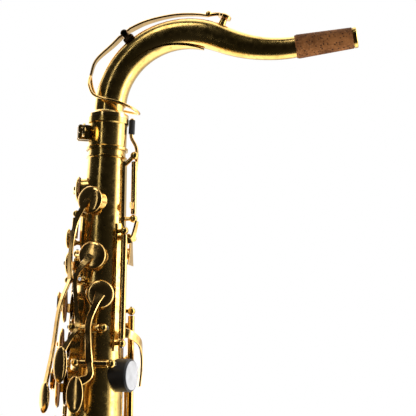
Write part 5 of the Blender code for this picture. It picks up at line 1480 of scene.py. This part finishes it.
palm_key("high_f_key", "high_f", [(226, 573 * MM, 12 * MM), (228, 590 * MM, 12 * MM),
                                  (236, 606 * MM, 12 * MM)],
         [(224, 536 * MM, 17.5 * MM), (223, 504 * MM, 20 * MM), (222, 474 * MM, 24 * MM)],
         [6 * MM, 5 * MM, 5 * MM, 5 * MM, 5 * MM, 6 * MM], (12 * MM, 7.5 * MM), 4.0)
palm_key("high_eb_key", "high_eb", [(246, 540 * MM, 12.5 * MM), (245, 560 * MM, 14 * MM)],
         [(243, 511 * MM, 15 * MM), (239, 500 * MM, 21 * MM)],
         [5 * MM, 3.6 * MM, 4 * MM, 6 * MM], (14 * MM, 7 * MM), 6.0, shift=-7.0 * MM)
palm_key("high_d_key", "high_d", [(269, 508 * MM, 13.5 * MM), (268, 524 * MM, 14.5 * MM),
                                  (275, 538 * MM, 12 * MM)],
         [(273, 484 * MM, 14 * MM), (257, 478 * MM, 17 * MM)],
         [6 * MM, 5 * MM, 5 * MM, 5 * MM, 8 * MM], (14 * MM, 7 * MM), 8.0, shift=-3.0 * MM)


# ---------------------------------------------------------------- levers along the tube
# The side keys are long hinge tubes on the right side of the tube, with a touch at the
# bottom for the right hand and an arm to a cup at the top.

# Right hand side keys: high E over the front, side C and side B flat on the right
SIDE_C_ROD = 26
SIDE_C_POSTS = (404 * MM, 537 * MM)
SIDE_BB_ROD = 38
SIDE_BB_POSTS = (376 * MM, 499 * MM)
rib("side_key_rib", body, 34, 370 * MM, 543 * MM,
    [(height, SIDE_C_ROD, LIFT) for height in SIDE_C_POSTS]
    + [(height, SIDE_BB_ROD, LIFT) for height in SIDE_BB_POSTS])


def side_key(name, hole, rod_angle, low, high, touch_path, touch, travel_deg, lift=LIFT):
    """A cup near the top of a long hinge tube that the right hand turns from below."""
    line = rod_line(body, rod_angle, low, high, lift)
    points = [on_line(line, body, touch_path[0][1])] + [body.point(*p) for p in touch_path]
    normals = [body.out(touch_path[0][0])] + [body.out(p[0]) for p in touch_path]
    extras = [arm(points, normals, [6 * MM] * len(points)),
              touch_plate(points[-1], normals[-1], body.up(), *touch)]
    stack_key(name, body, line, low, high, hole, rod_angle, False, extras,
              travel_deg=travel_deg)


side_key("high_e_key", "high_e", HIGH_E_ROD, after(HIGH_E_POSTS[0]), before(HIGH_E_POSTS[1]),
         [(112, 455 * MM, 11 * MM), (98, 455 * MM, 17 * MM)], (11 * MM, 6 * MM), 8.0)
side_key("side_c_key", "side_c", SIDE_C_ROD, after(SIDE_C_POSTS[0]), before(SIDE_C_POSTS[1]),
         [(12, 412 * MM, 13 * MM), (4, 412 * MM, 20 * MM)], (9 * MM, 5 * MM), 7.0)
side_key("side_bb_key", "side_bb", SIDE_BB_ROD, after(SIDE_BB_POSTS[0]),
         before(SIDE_BB_POSTS[1]),
         [(44, 386 * MM, 13 * MM), (52, 386 * MM, 20 * MM)], (9 * MM, 5 * MM), 7.0)


# ---------------------------------------------------------------- octave mechanism, at the back
# The left thumb's lever lifts a small pin beside the tenon, which pushes the neck's loop, or
# frees the small vent key on the body. All of them turn between ball posts at the back, and
# a rubber sleeve quiets the pin.

PIN_ANGLE = 350
PIN_POSTS = (609 * MM, 660 * MM)

OCTAVE_LIFT = 8.4 * MM
pin_line = rod_line(body, PIN_ANGLE, *PIN_POSTS, OCTAVE_LIFT)

THUMB_ANGLE = 324
THUMB_POSTS = (510 * MM, 598 * MM)

thumb_line = rod_line(body, THUMB_ANGLE, *THUMB_POSTS, LIFT)
rib("thumb_lever_rib", body, THUMB_ANGLE, 504 * MM, 604 * MM,
    [(height, THUMB_ANGLE, LIFT) for height in THUMB_POSTS], 5 * MM)

# The pin key: a rod above its hinge tube bends in and ends in the pin beside the tenon
pin_start = on_line(pin_line, body, after(PIN_POSTS[0]))
pin_end = on_line(pin_line, body, before(PIN_POSTS[1]) - 1.5 * MM)
pin_hook = on_line(pin_line, body, 645 * MM)
outside = body.point(PIN_ANGLE + 14, 650 * MM, OCTAVE_LIFT)
pin_foot = Vector((receiver_outer + 2.6 * MM, 2 * MM, 676 * MM))
pin_top = Vector((receiver_outer + 2.6 * MM, 2 * MM, 691.5 * MM))
pin_key = fuse([
    rod(pin_start, pin_end, BARREL - 0.4 * MM),
    arm([pin_hook, outside], [body.out(PIN_ANGLE + 8)] * 2, [6 * MM, 5 * MM]),
    wire([outside - Vector((0, 0, MM)), outside + Vector((0, 0, 16 * MM)), pin_foot,
          (pin_foot + pin_top) / 2], 1.4 * MM),
    rod((pin_foot + pin_top) / 2 - Vector((0, 0, 2 * MM)), pin_top, 1.7 * MM),
    arm([on_line(pin_line, body, 619 * MM), body.point(PIN_ANGLE - 16, 619 * MM, 9.5 * MM)],
        [body.out(PIN_ANGLE)] * 2, [7 * MM, 5 * MM]),
])
keep(pin_key, "octave_pin_key", AGED_BRASS, pin_start, pin_start - pin_end, travel=12)

RUBBER = simple_finish("rubber", (0.02, 0.018, 0.017), 0.0, 0.6)

sleeve_on_pin = finish(sleeve(1.7 * MM, 2.5 * MM, -7 * MM, 4.5 * MM, Matrix.Translation(
    (pin_foot + pin_top) / 2 + Vector((0, 0, 2 * MM))), 24),
    "octave_pin_rubber", RUBBER, body=bodies_of["octave_pin_key"])


def lever(name, tube, line, low, high, arms, travel_deg, press, finish=AGED_BRASS):
    """A hinge tube along the body with flat arms and touches, and no cup of its own.

    Each arm is (height, path, widths, touch): the path's points are (angle, height, lift),
    and the touch is (long half, wide half, points along the tube?) or None. A positive turn
    moves the press point, given as (angle, height, lift), towards the tube.
    """
    start = on_line(line, tube, low)
    end = on_line(line, tube, high)
    pieces = [rod(start, end, BARREL, 10)]
    for height, path, widths, touch in arms:
        points = [on_line(line, tube, height)] + [tube.point(*place) for place in path]
        normals = [tube.out(path[0][0])] + [tube.out(place[0]) for place in path]
        pieces.append(arm(points, normals, widths))
        if touch:
            along = tube.up() if touch[2] else tube.side(path[-1][0])
            pieces.append(touch_plate(points[-1], normals[-1], along, touch[0], touch[1]))
    axis = (end - start).normalized()
    away = swing_sign(axis, start, tube.point(*press), tube.out(press[0]))
    return keep(fuse(pieces), name, finish, start, axis * -away, travel_deg)


# Thumb lever: hinge tube, a bowed thumb touch, and an arm up to the pin key
lever("thumb_octave_lever", body, thumb_line, after(THUMB_POSTS[0]), before(THUMB_POSTS[1]), [
    (519 * MM, [(338, 517 * MM, 11 * MM), (358, 512 * MM, 14 * MM), (14, 503 * MM, 15 * MM),
                (22, 490 * MM, 15 * MM), (21, 478 * MM, 14 * MM)],
     [8 * MM, 7 * MM, 7 * MM, 8 * MM, 9 * MM, 8 * MM], None),
    (590 * MM, [(334, 592 * MM, 11.5 * MM), (338, 606 * MM, 14.5 * MM)],
     [6 * MM, 5 * MM, 4 * MM], None),
], 6, (22, 490 * MM, 15 * MM))

# Body octave key: a small cup over the upper vent, on a short cross-wise hinge
vent = BODY_HOLES["octave"]

vent_out = body.out(vent[0])
vent_side = body.side(vent[0])
vent_rim = rim_centre(body, vent)

VENT_KEY_HINGE = (352, 594 * MM, 6.5 * MM)

vent_hinge = body.point(*VENT_KEY_HINGE)
vent_reach = 3.5 * MM + GAP + 2.4 * MM
octave_rib = [arm([body.point(PIN_ANGLE, h, -0.5 * MM) for h in (589 * MM, 655 * MM)],
                  [vent_out] * 2, [6 * MM] * 2, 4 * MM),
              block(aim(body.point(352, 594 * MM, -0.5 * MM), Vector((0, 0, 1)), vent_out),
                    (4 * MM, 10.5 * MM, 5 * MM), 0.8 * MM)]
for height in PIN_POSTS:
    top = body.point(PIN_ANGLE, height, OCTAVE_LIFT)
    foot = body.point(PIN_ANGLE, min(height, 652 * MM))
    octave_rib += [rod(foot, top, POST_STEM, 8), ball(top, POST_BALL)]
for way in (-1, 1):
    top = vent_hinge + vent_side * way * vent_reach
    foot = body.point(352, 594 * MM) + vent_side * way * 3.5 * MM
    octave_rib += [rod(foot, top, 1.4 * MM, 8), ball(top, 2.4 * MM)]
keep(cut(fuse(octave_rib), [body.clearance()]), "octave_rib", AGED_BRASS)
vent_cup_top = vent_rim + vent_out * (GAP + 3.0 * MM)
keep(fuse([
    rod(vent_hinge - vent_side * 3.5 * MM, vent_hinge + vent_side * 3.5 * MM, 2.2 * MM),
    turned([(0, 3 * MM), (3.2 * MM, 3 * MM), (4.6 * MM, 1.8 * MM), (4.6 * MM, 0), (0, 0)],
           aim(vent_rim + vent_out * GAP, vent_out), 14),
    arm([vent_hinge, vent_cup_top, vent_cup_top - Vector((0, 0, 9 * MM))],
        [vent_out] * 3, [5 * MM, 8 * MM, 13 * MM], 1.4 * MM),
]), "body_octave_key", AGED_BRASS, vent_hinge,
    vent_side * swing_sign(vent_side, vent_hinge, vent_rim, vent_out), travel=7)


# ---------------------------------------------------------------- rests, hook and strap ring
# The left thumb rests on a black resin button with a pale face, the right thumb sits under
# a brass hook, and the strap clips into a ring. All three are fixed to the back of the tube.

THUMB_REST_ANGLE = 345

rest_out = body.out(THUMB_REST_ANGLE)

THUMB_REST_HEIGHT = 486 * MM

rest_back = body.point(THUMB_REST_ANGLE, THUMB_REST_HEIGHT, -6 * MM)

THUMB_REST_DEPTH = 10.5 * MM

rest_face = body.point(THUMB_REST_ANGLE, THUMB_REST_HEIGHT, THUMB_REST_DEPTH)
depth = (rest_face - rest_back).length

THUMB_REST_RADIUS = 12.8 * MM

disc = turned([(0, depth), (THUMB_REST_RADIUS - 1.2 * MM, depth),
               (THUMB_REST_RADIUS, depth - 1.2 * MM), (THUMB_REST_RADIUS, 0), (0, 0)],
              aim(rest_back, rest_out), 24)

BLACK_RESIN = simple_finish("black_resin", (0.004, 0.004, 0.0045), 0.0, 0.45)

keep(cut(disc, [body.clearance()]), "thumb_rest", BLACK_RESIN)

PALE_FACE = simple_finish("pale_face", (0.62, 0.63, 0.66), 0.0, 0.35, 120)

face = finish(turned([(0, 0.35 * MM), (THUMB_REST_RADIUS - 1.9 * MM, 0.35 * MM),
                      (THUMB_REST_RADIUS - 1.5 * MM, 0), (0, 0)], aim(rest_face, rest_out), 48),
              "thumb_rest_face", PALE_FACE, body="main_tube_and_bell")

HOOK_ANGLE = 8
hook_out = body.out(HOOK_ANGLE)

# Right thumb hook: a curved finger standing off a soldered plate
HOOK_HEIGHT = 318 * MM

hook_base = body.point(HOOK_ANGLE, HOOK_HEIGHT, 0)
hook_plate = block(aim(hook_base, Vector((0, 0, 1)), hook_out), (5 * MM, 12 * MM, 30 * MM), MM)
finger = [hook_base + hook_out * x * MM - Vector((0, 0, z * MM))
          for x, z in ((0, -8), (9, -9), (18, -6), (23, 1), (23, 9))]
hook = arm(finger, [Vector((0, 0, 1)), Vector((0, 0, 1)), hook_out + Vector((0, 0, 1)), hook_out,
                    hook_out], [9 * MM, 9 * MM, 10 * MM, 11 * MM, 9 * MM], 3 * MM)
keep(cut(fuse([hook_plate, hook]), [body.clearance()]), "thumb_hook", AGED_BRASS)

strap_base = body.point(0, STRAP_RING_HEIGHT, 0)

# Strap ring: a plate, a short stalk and a heavy ring that the neck strap clips to
EYE_RADIUS = 6.5 * MM

eye_path = [strap_eye + Vector((EYE_RADIUS * math.cos(2 * math.pi * i / 14), 0,
                                EYE_RADIUS * math.sin(2 * math.pi * i / 14)))
            for i in range(14)]
strap_plate = block(aim(strap_base, Vector((0, 0, 1)), body.out(0)),
                    (4 * MM, 9 * MM, 22 * MM), MM)

EYE_WIRE = 1.8 * MM

keep(cut(fuse([strap_plate, wire(eye_path, EYE_WIRE, loop=True, fineness=1)]),
         [body.clearance()]), "strap_ring", AGED_BRASS)


# ---------------------------------------------------------------- front F and left little finger
# The front F key opens the high F cup from the stack. The left little finger works a table
# of four touches, whose long hinge tubes run down the tube to the bell keys.

front_f_line = rod_line(body, FRONT_F_ANGLE, *FRONT_F_POSTS, FRONT_F_LIFT)
lever("front_f_key", body, front_f_line, FRONT_F_POSTS[0] + 3.2 * MM,
      FRONT_F_POSTS[1] - 3.2 * MM, [
          (596 * MM, [(203, 595 * MM, 9 * MM), (191, 592 * MM, 10 * MM)],
           [6 * MM, 6 * MM, 6 * MM], (8 * MM, 6 * MM, True)),
          (604 * MM, [(218, 604 * MM, 7.5 * MM), (226, 603 * MM, 7.5 * MM)],
           [5 * MM, 4 * MM, 4 * MM], None),
      ], 8, (191, 592 * MM, 10 * MM))

G_SHARP_ANGLE = 262
G_SHARP_POSTS = (399 * MM, 442 * MM)
table_posts = [(height, G_SHARP_ANGLE, 9 * MM) for height in G_SHARP_POSTS]

REAR_STRAP_ANGLE = 308

more = [arm([body.point(REAR_STRAP_ANGLE, h, -0.5 * MM) for h in (257 * MM, 403 * MM)],
            [body.out(REAR_STRAP_ANGLE)] * 2, [6 * MM] * 2, 4 * MM),
        arm([body.point(angle, 330 * MM, -0.5 * MM) for angle in (268, 281, 295, 310)],
            [body.out(angle) for angle in (268, 281, 295, 310)], [8 * MM] * 4, 4 * MM)]

# The table: each lever's touch stands off the left side, and a crank at the foot of its
# hinge tube reaches forward to the bell key that it works. Two straps and a cross-piece
# carry all their posts.
TABLE_LEVERS = {             # name: (hinge angle, lift, low post, high post)
    "low_c_sharp": (276, 8 * MM, 222 * MM, 424 * MM),
    "low_b": (300, 8 * MM, 262 * MM, 398 * MM),
    "low_bb": (315, 8 * MM, 284 * MM, 375 * MM),
}

for name in ("low_b", "low_bb"):
    angle, lift, *heights = TABLE_LEVERS[name]
    for height in heights:
        top = body.point(angle, height, lift)
        foot = body.point((angle + REAR_STRAP_ANGLE) / 2, height)
        more += [rod(foot, top, POST_STEM, 8), ball(top, POST_BALL)]
angle, lift, *heights = TABLE_LEVERS["low_c_sharp"]
table_posts += [(height, angle, lift) for height in heights]

FRONT_STRAP_ANGLE = 270

rib("table_rib", body, FRONT_STRAP_ANGLE, 216 * MM, 447 * MM, table_posts, more=more)

g_sharp_line = rod_line(body, G_SHARP_ANGLE, *G_SHARP_POSTS, 9 * MM)
g_sharp_touch = [on_line(g_sharp_line, body, 431 * MM), body.point(275, 431 * MM, 14 * MM),
                 body.point(292, 431 * MM, 15 * MM)]
stack_key("g_sharp_key", body, g_sharp_line, after(G_SHARP_POSTS[0]), before(G_SHARP_POSTS[1]),
          "g_sharp", G_SHARP_ANGLE, False,
          [arm(g_sharp_touch, [body.out(angle) for angle in (264, 275, 292)], [7 * MM] * 3),
           touch_plate(g_sharp_touch[-1], body.out(292), body.side(292), 10 * MM, 6 * MM)],
          travel_deg=6.0)


def table_lever(name, key, touch_arm, crank, travel_deg):
    """touch_arm and crank are (height, path) pairs of lever arms, and the touch presses in."""
    angle, lift, low, high = TABLE_LEVERS[key]
    line = rod_line(body, angle, low, high, lift)
    height, path = touch_arm
    lever(name, body, line, after(low), before(high), [
        (height, path, [7 * MM] * (len(path) + 1), (10 * MM, 7.5 * MM, False)),
        (crank[0], crank[1], [6 * MM] * (len(crank[1]) + 1), None),
    ], travel_deg, path[-1])


table_lever("low_c_sharp_lever", "low_c_sharp",
            (407 * MM, [(282, 407 * MM, 13 * MM), (298, 407 * MM, 14 * MM)]),
            (230 * MM, [(262, 230 * MM, 12 * MM), (235, 230 * MM, 30 * MM),
                        (212, 230 * MM, 50 * MM)]), 5)
table_lever("low_b_lever", "low_b",
            (384 * MM, [(292, 384 * MM, 13 * MM), (282, 384 * MM, 14 * MM)]),
            (270 * MM, [(286, 270 * MM, 13.5 * MM), (268, 270 * MM, 15 * MM),
                        (235, 270 * MM, 30 * MM), (209, 270 * MM, 42 * MM)]), 4)
table_lever("low_bb_lever", "low_bb",
            (360 * MM, [(305, 360 * MM, 13.5 * MM), (297, 360 * MM, 14 * MM),
                        (284, 360 * MM, 14 * MM)]),
            (292 * MM, [(300, 292 * MM, 14 * MM), (268, 292 * MM, 15 * MM),
                        (232, 292 * MM, 29 * MM), (204, 292 * MM, 42 * MM)]), 4)


# ---------------------------------------------------------------- bell keys
# Three large cups close the bell's holes, two at its right side and one at its left, hinged
# on ribs soldered to the bell. A bent rod with two bumpers guards the two on the right.

LOW_B_POSTS = (56 * MM, 186 * MM)
LOW_B_ROD = 24
LOW_BB_ROD = 40
LOW_BB_POSTS = (128 * MM, 208 * MM)
rib("low_b_rib", bell, 31, 50 * MM, 212 * MM,
    [(along, LOW_B_ROD, LIFT) for along in LOW_B_POSTS]
    + [(along, LOW_BB_ROD, LIFT) for along in LOW_BB_POSTS], 8.8 * MM)
C_SHARP_ROD = -128
C_SHARP_POSTS = (36 * MM, 140 * MM)
rib("low_c_sharp_rib", bell, C_SHARP_ROD, 30 * MM, 146 * MM,
    [(along, C_SHARP_ROD, LIFT) for along in C_SHARP_POSTS])

BELL_ARM_RISE = 3 * MM       # how far the low cups' straps arch clear of the bell


def bell_key(name, hole, rod_angle, posts, crank_along, crank, is_open, travel_deg):
    """A bell key; the crank is a list of plain points from its hinge tube to the lever."""
    line = rod_line(bell, rod_angle, *posts)
    points = [on_line(line, bell, crank_along)] + [Vector(place) * MM for place in crank]
    flat = bell.up().cross(points[-1] - points[0]).normalized()
    stack_key(name, bell, line, after(posts[0]), before(posts[1]), hole, rod_angle, is_open,
              [arm(points, [flat] * len(points), [6 * MM] * len(points))],
              holes=BELL_HOLES, travel_deg=travel_deg, width=8 * MM,
              rise=BELL_ARM_RISE if is_open else 0.0)


bell_key("low_b_key", "low_b", LOW_B_ROD, LOW_B_POSTS, 176 * MM,
         [(-68, 0, 272), (-64, -24, 270)], True, 5.6)
bell_key("low_bb_key", "low_bb", LOW_BB_ROD, LOW_BB_POSTS, 196 * MM,
         [(-75.5, 5, 292), (-64, -20, 291)], True, 5.6)
bell_key("low_c_sharp_key", "low_c_sharp", C_SHARP_ROD, C_SHARP_POSTS, 128 * MM,
         [(-126, -58, 230), (-100, -58, 230), (-74, -47, 230)], False, 6.0)

# Guard over the two low cups: a bent bar with a foot at each end and a bumper over each cup
GUARD_RISE = 21 * MM
guard_path = [bell.point(90, 62 * MM, -2 * MM), bell.point(90, 64 * MM, GUARD_RISE - 3 * MM),
              bell.point(90, 68 * MM, GUARD_RISE), bell.point(90, 126 * MM, GUARD_RISE),
              bell.point(90, 186 * MM, GUARD_RISE), bell.point(90, 190 * MM, GUARD_RISE - 3 * MM),
              bell.point(90, 192 * MM, -2 * MM)]
guard = [wire(guard_path, 2.0 * MM)]
for along in (BELL_HOLES["low_b"][1], BELL_HOLES["low_bb"][1]):
    guard.append(rod(bell.point(90, along, GUARD_RISE - 3 * MM),
                     bell.point(90, along, GUARD_RISE + 2 * MM), 4.5 * MM))
keep(cut(fuse(guard), [bell.clearance()]), "bell_key_guard", AGED_BRASS)


# ---------------------------------------------------------------- lowest keys, right side
# The right little finger's two keys reach down the tube: low E flat stands closed, and low C
# stands open over a hole in the bow.

LOW_EB_ROD = 84
LOW_EB_POSTS = (142 * MM, 232 * MM)
LOW_C_ROD = 66
LOW_C_POSTS = (128 * MM, 212 * MM)
rib("low_key_rib", body, 75, 119 * MM, 238 * MM,
    [(height, LOW_EB_ROD, LIFT) for height in LOW_EB_POSTS]
    + [(height, LOW_C_ROD, LIFT) for height in LOW_C_POSTS], 9 * MM)
side_key("low_eb_key", "low_eb", LOW_EB_ROD, after(LOW_EB_POSTS[0]), before(LOW_EB_POSTS[1]),
         [(72, 222 * MM, 12 * MM), (60, 222 * MM, 15 * MM)], (12 * MM, 7 * MM), 7.0)

low_c_line = rod_line(body, LOW_C_ROD, *LOW_C_POSTS, LIFT)
low_c_start = on_line(low_c_line, body, after(LOW_C_POSTS[0]))
low_c_finish = on_line(low_c_line, body, before(LOW_C_POSTS[1]))
low_c_radius = LOW_C_HOLE / 2 + CUP_OVERLAP
low_c_arm = [on_line(low_c_line, body, 137 * MM), body.point(80, 131 * MM, 12 * MM),
             body.point(83, 117 * MM, 11 * MM), low_c_rim + right * (GAP + CUP_HEIGHT + 0.4 * MM)]
low_c_touch = body.point(50, 196 * MM, 15 * MM)
low_c_axis = (low_c_finish - low_c_start).normalized()
low_c_sign = swing_sign(low_c_axis, low_c_start, low_c_rim, right)
keep(fuse([
    rod(low_c_start, low_c_finish, BARREL),
    cup(low_c_rim, right, low_c_radius),
    arm(low_c_arm, [body.out(70), body.out(80), body.out(85), right], [9 * MM] * 3 + [6 * MM]),
    arm([on_line(low_c_line, body, 196 * MM), body.point(58, 196 * MM, 12 * MM), low_c_touch],
        [body.out(angle) for angle in (62, 58, 50)], [8 * MM] * 3),
    touch_plate(low_c_touch, body.out(50), body.side(50), 12 * MM, 7 * MM),
]), "low_c_key", AGED_BRASS, low_c_start, low_c_axis * -low_c_sign, 9.0, held_open=9.0)
pad("low_c_key", low_c_rim, right, low_c_radius, open_keys["low_c_key"])


# ---------------------------------------------------------------- pivot screws
# Every ball post is bored and tapped for a slotted steel pivot screw, whose head shows at
# the post's outer side. One tree of nodes saws the head and sets it on the posts gathered from
# the ribs and the palm keys' footplates.

def scattered(name, shapes, material):
    """A tree that sets one shape on each point, turned to the way that the point faces."""
    tree = bpy.data.node_groups.new(name, "GeometryNodeTree")
    tree.interface.new_socket("Geometry", in_out="INPUT", socket_type="NodeSocketGeometry")
    sockets = {}
    for label, value in shapes.items():
        socket = tree.interface.new_socket(label, in_out="INPUT", socket_type="NodeSocketFloat")
        socket.default_value = value
        sockets[label] = socket.identifier
    tree.interface.new_socket("Geometry", in_out="OUTPUT", socket_type="NodeSocketGeometry")
    given = tree.nodes.new("NodeGroupInput")
    result = tree.nodes.new("NodeGroupOutput")
    shape = tree.nodes.new("GeometryNodeMeshCone")
    shape.inputs["Vertices"].default_value = 16
    tree.links.new(given.outputs["Foot radius"], shape.inputs["Radius Bottom"])
    tree.links.new(given.outputs["Tip radius"], shape.inputs["Radius Top"])
    tree.links.new(given.outputs["Length"], shape.inputs["Depth"])
    made = shape.outputs["Mesh"]
    if "Slot width" in shapes:
        size = tree.nodes.new("ShaderNodeCombineXYZ")
        size.inputs["X"].default_value = 5 * MM
        tree.links.new(given.outputs["Slot width"], size.inputs["Y"])
        tree.links.new(given.outputs["Length"], size.inputs["Z"])
        slot = tree.nodes.new("GeometryNodeMeshCube")
        tree.links.new(size.outputs["Vector"], slot.inputs["Size"])
        lifted = tree.nodes.new("GeometryNodeTransform")
        offset = tree.nodes.new("ShaderNodeCombineXYZ")
        tree.links.new(given.outputs["Length"], offset.inputs["Z"])
        tree.links.new(slot.outputs["Mesh"], lifted.inputs["Geometry"])
        tree.links.new(offset.outputs["Vector"], lifted.inputs["Translation"])
        sawn = tree.nodes.new("GeometryNodeMeshBoolean")
        sawn.operation = "DIFFERENCE"
        tree.links.new(made, sawn.inputs["Mesh 1"])
        tree.links.new(lifted.outputs["Geometry"], sawn.inputs["Mesh 2"])
        made = sawn.outputs["Mesh"]
    facing = tree.nodes.new("GeometryNodeInputNamedAttribute")
    facing.data_type = "FLOAT_VECTOR"
    facing.inputs["Name"].default_value = "facing"
    turned_to = tree.nodes.new("FunctionNodeAlignRotationToVector")
    turned_to.axis = "Z"
    tree.links.new(facing.outputs["Attribute"], turned_to.inputs["Vector"])
    copies = tree.nodes.new("GeometryNodeInstanceOnPoints")
    tree.links.new(given.outputs["Geometry"], copies.inputs["Points"])
    tree.links.new(made, copies.inputs["Instance"])
    tree.links.new(turned_to.outputs["Rotation"], copies.inputs["Rotation"])
    real = tree.nodes.new("GeometryNodeRealizeInstances")
    tree.links.new(copies.outputs["Instances"], real.inputs["Geometry"])
    painted = tree.nodes.new("GeometryNodeSetMaterial")
    painted.inputs["Material"].default_value = material
    tree.links.new(real.outputs["Geometry"], painted.inputs["Geometry"])
    tree.links.new(painted.outputs["Geometry"], result.inputs["Geometry"])
    return tree, sockets


def scatter(name, places, material, sizes, body_name):
    """Run a tree of scattered shapes over (place, facing) pairs and keep the plain mesh."""
    mesh = bpy.data.meshes.new(name)
    mesh.from_pydata([place for place, _ in places], [], [])
    facings = mesh.attributes.new("facing", "FLOAT_VECTOR", "POINT")
    for item, (_, way) in zip(facings.data, places):
        item.vector = way
    points = new_object(mesh)
    tree, sockets = scattered(name + "_tree", sizes, material)
    modifier = points.modifiers.new(name, "NODES")
    modifier.node_group = tree
    for label, value in sizes.items():
        modifier[sockets[label]] = value
    bpy.context.view_layer.update()
    made = bpy.data.meshes.new_from_object(
        points.evaluated_get(bpy.context.evaluated_depsgraph_get()))
    points.modifiers.clear()
    bpy.data.objects.remove(points)
    piece = finish(new_object(made), name, material, body=body_name)
    return piece


scatter("pivot_screws", [(place + way * (POST_BALL - 0.5 * MM), way) for place, way in pivots],
        STEEL, {"Foot radius": 1.5 * MM, "Tip radius": 1.35 * MM, "Length": 0.9 * MM,
                  "Slot width": 0.5 * MM}, "main_tube_and_bell")
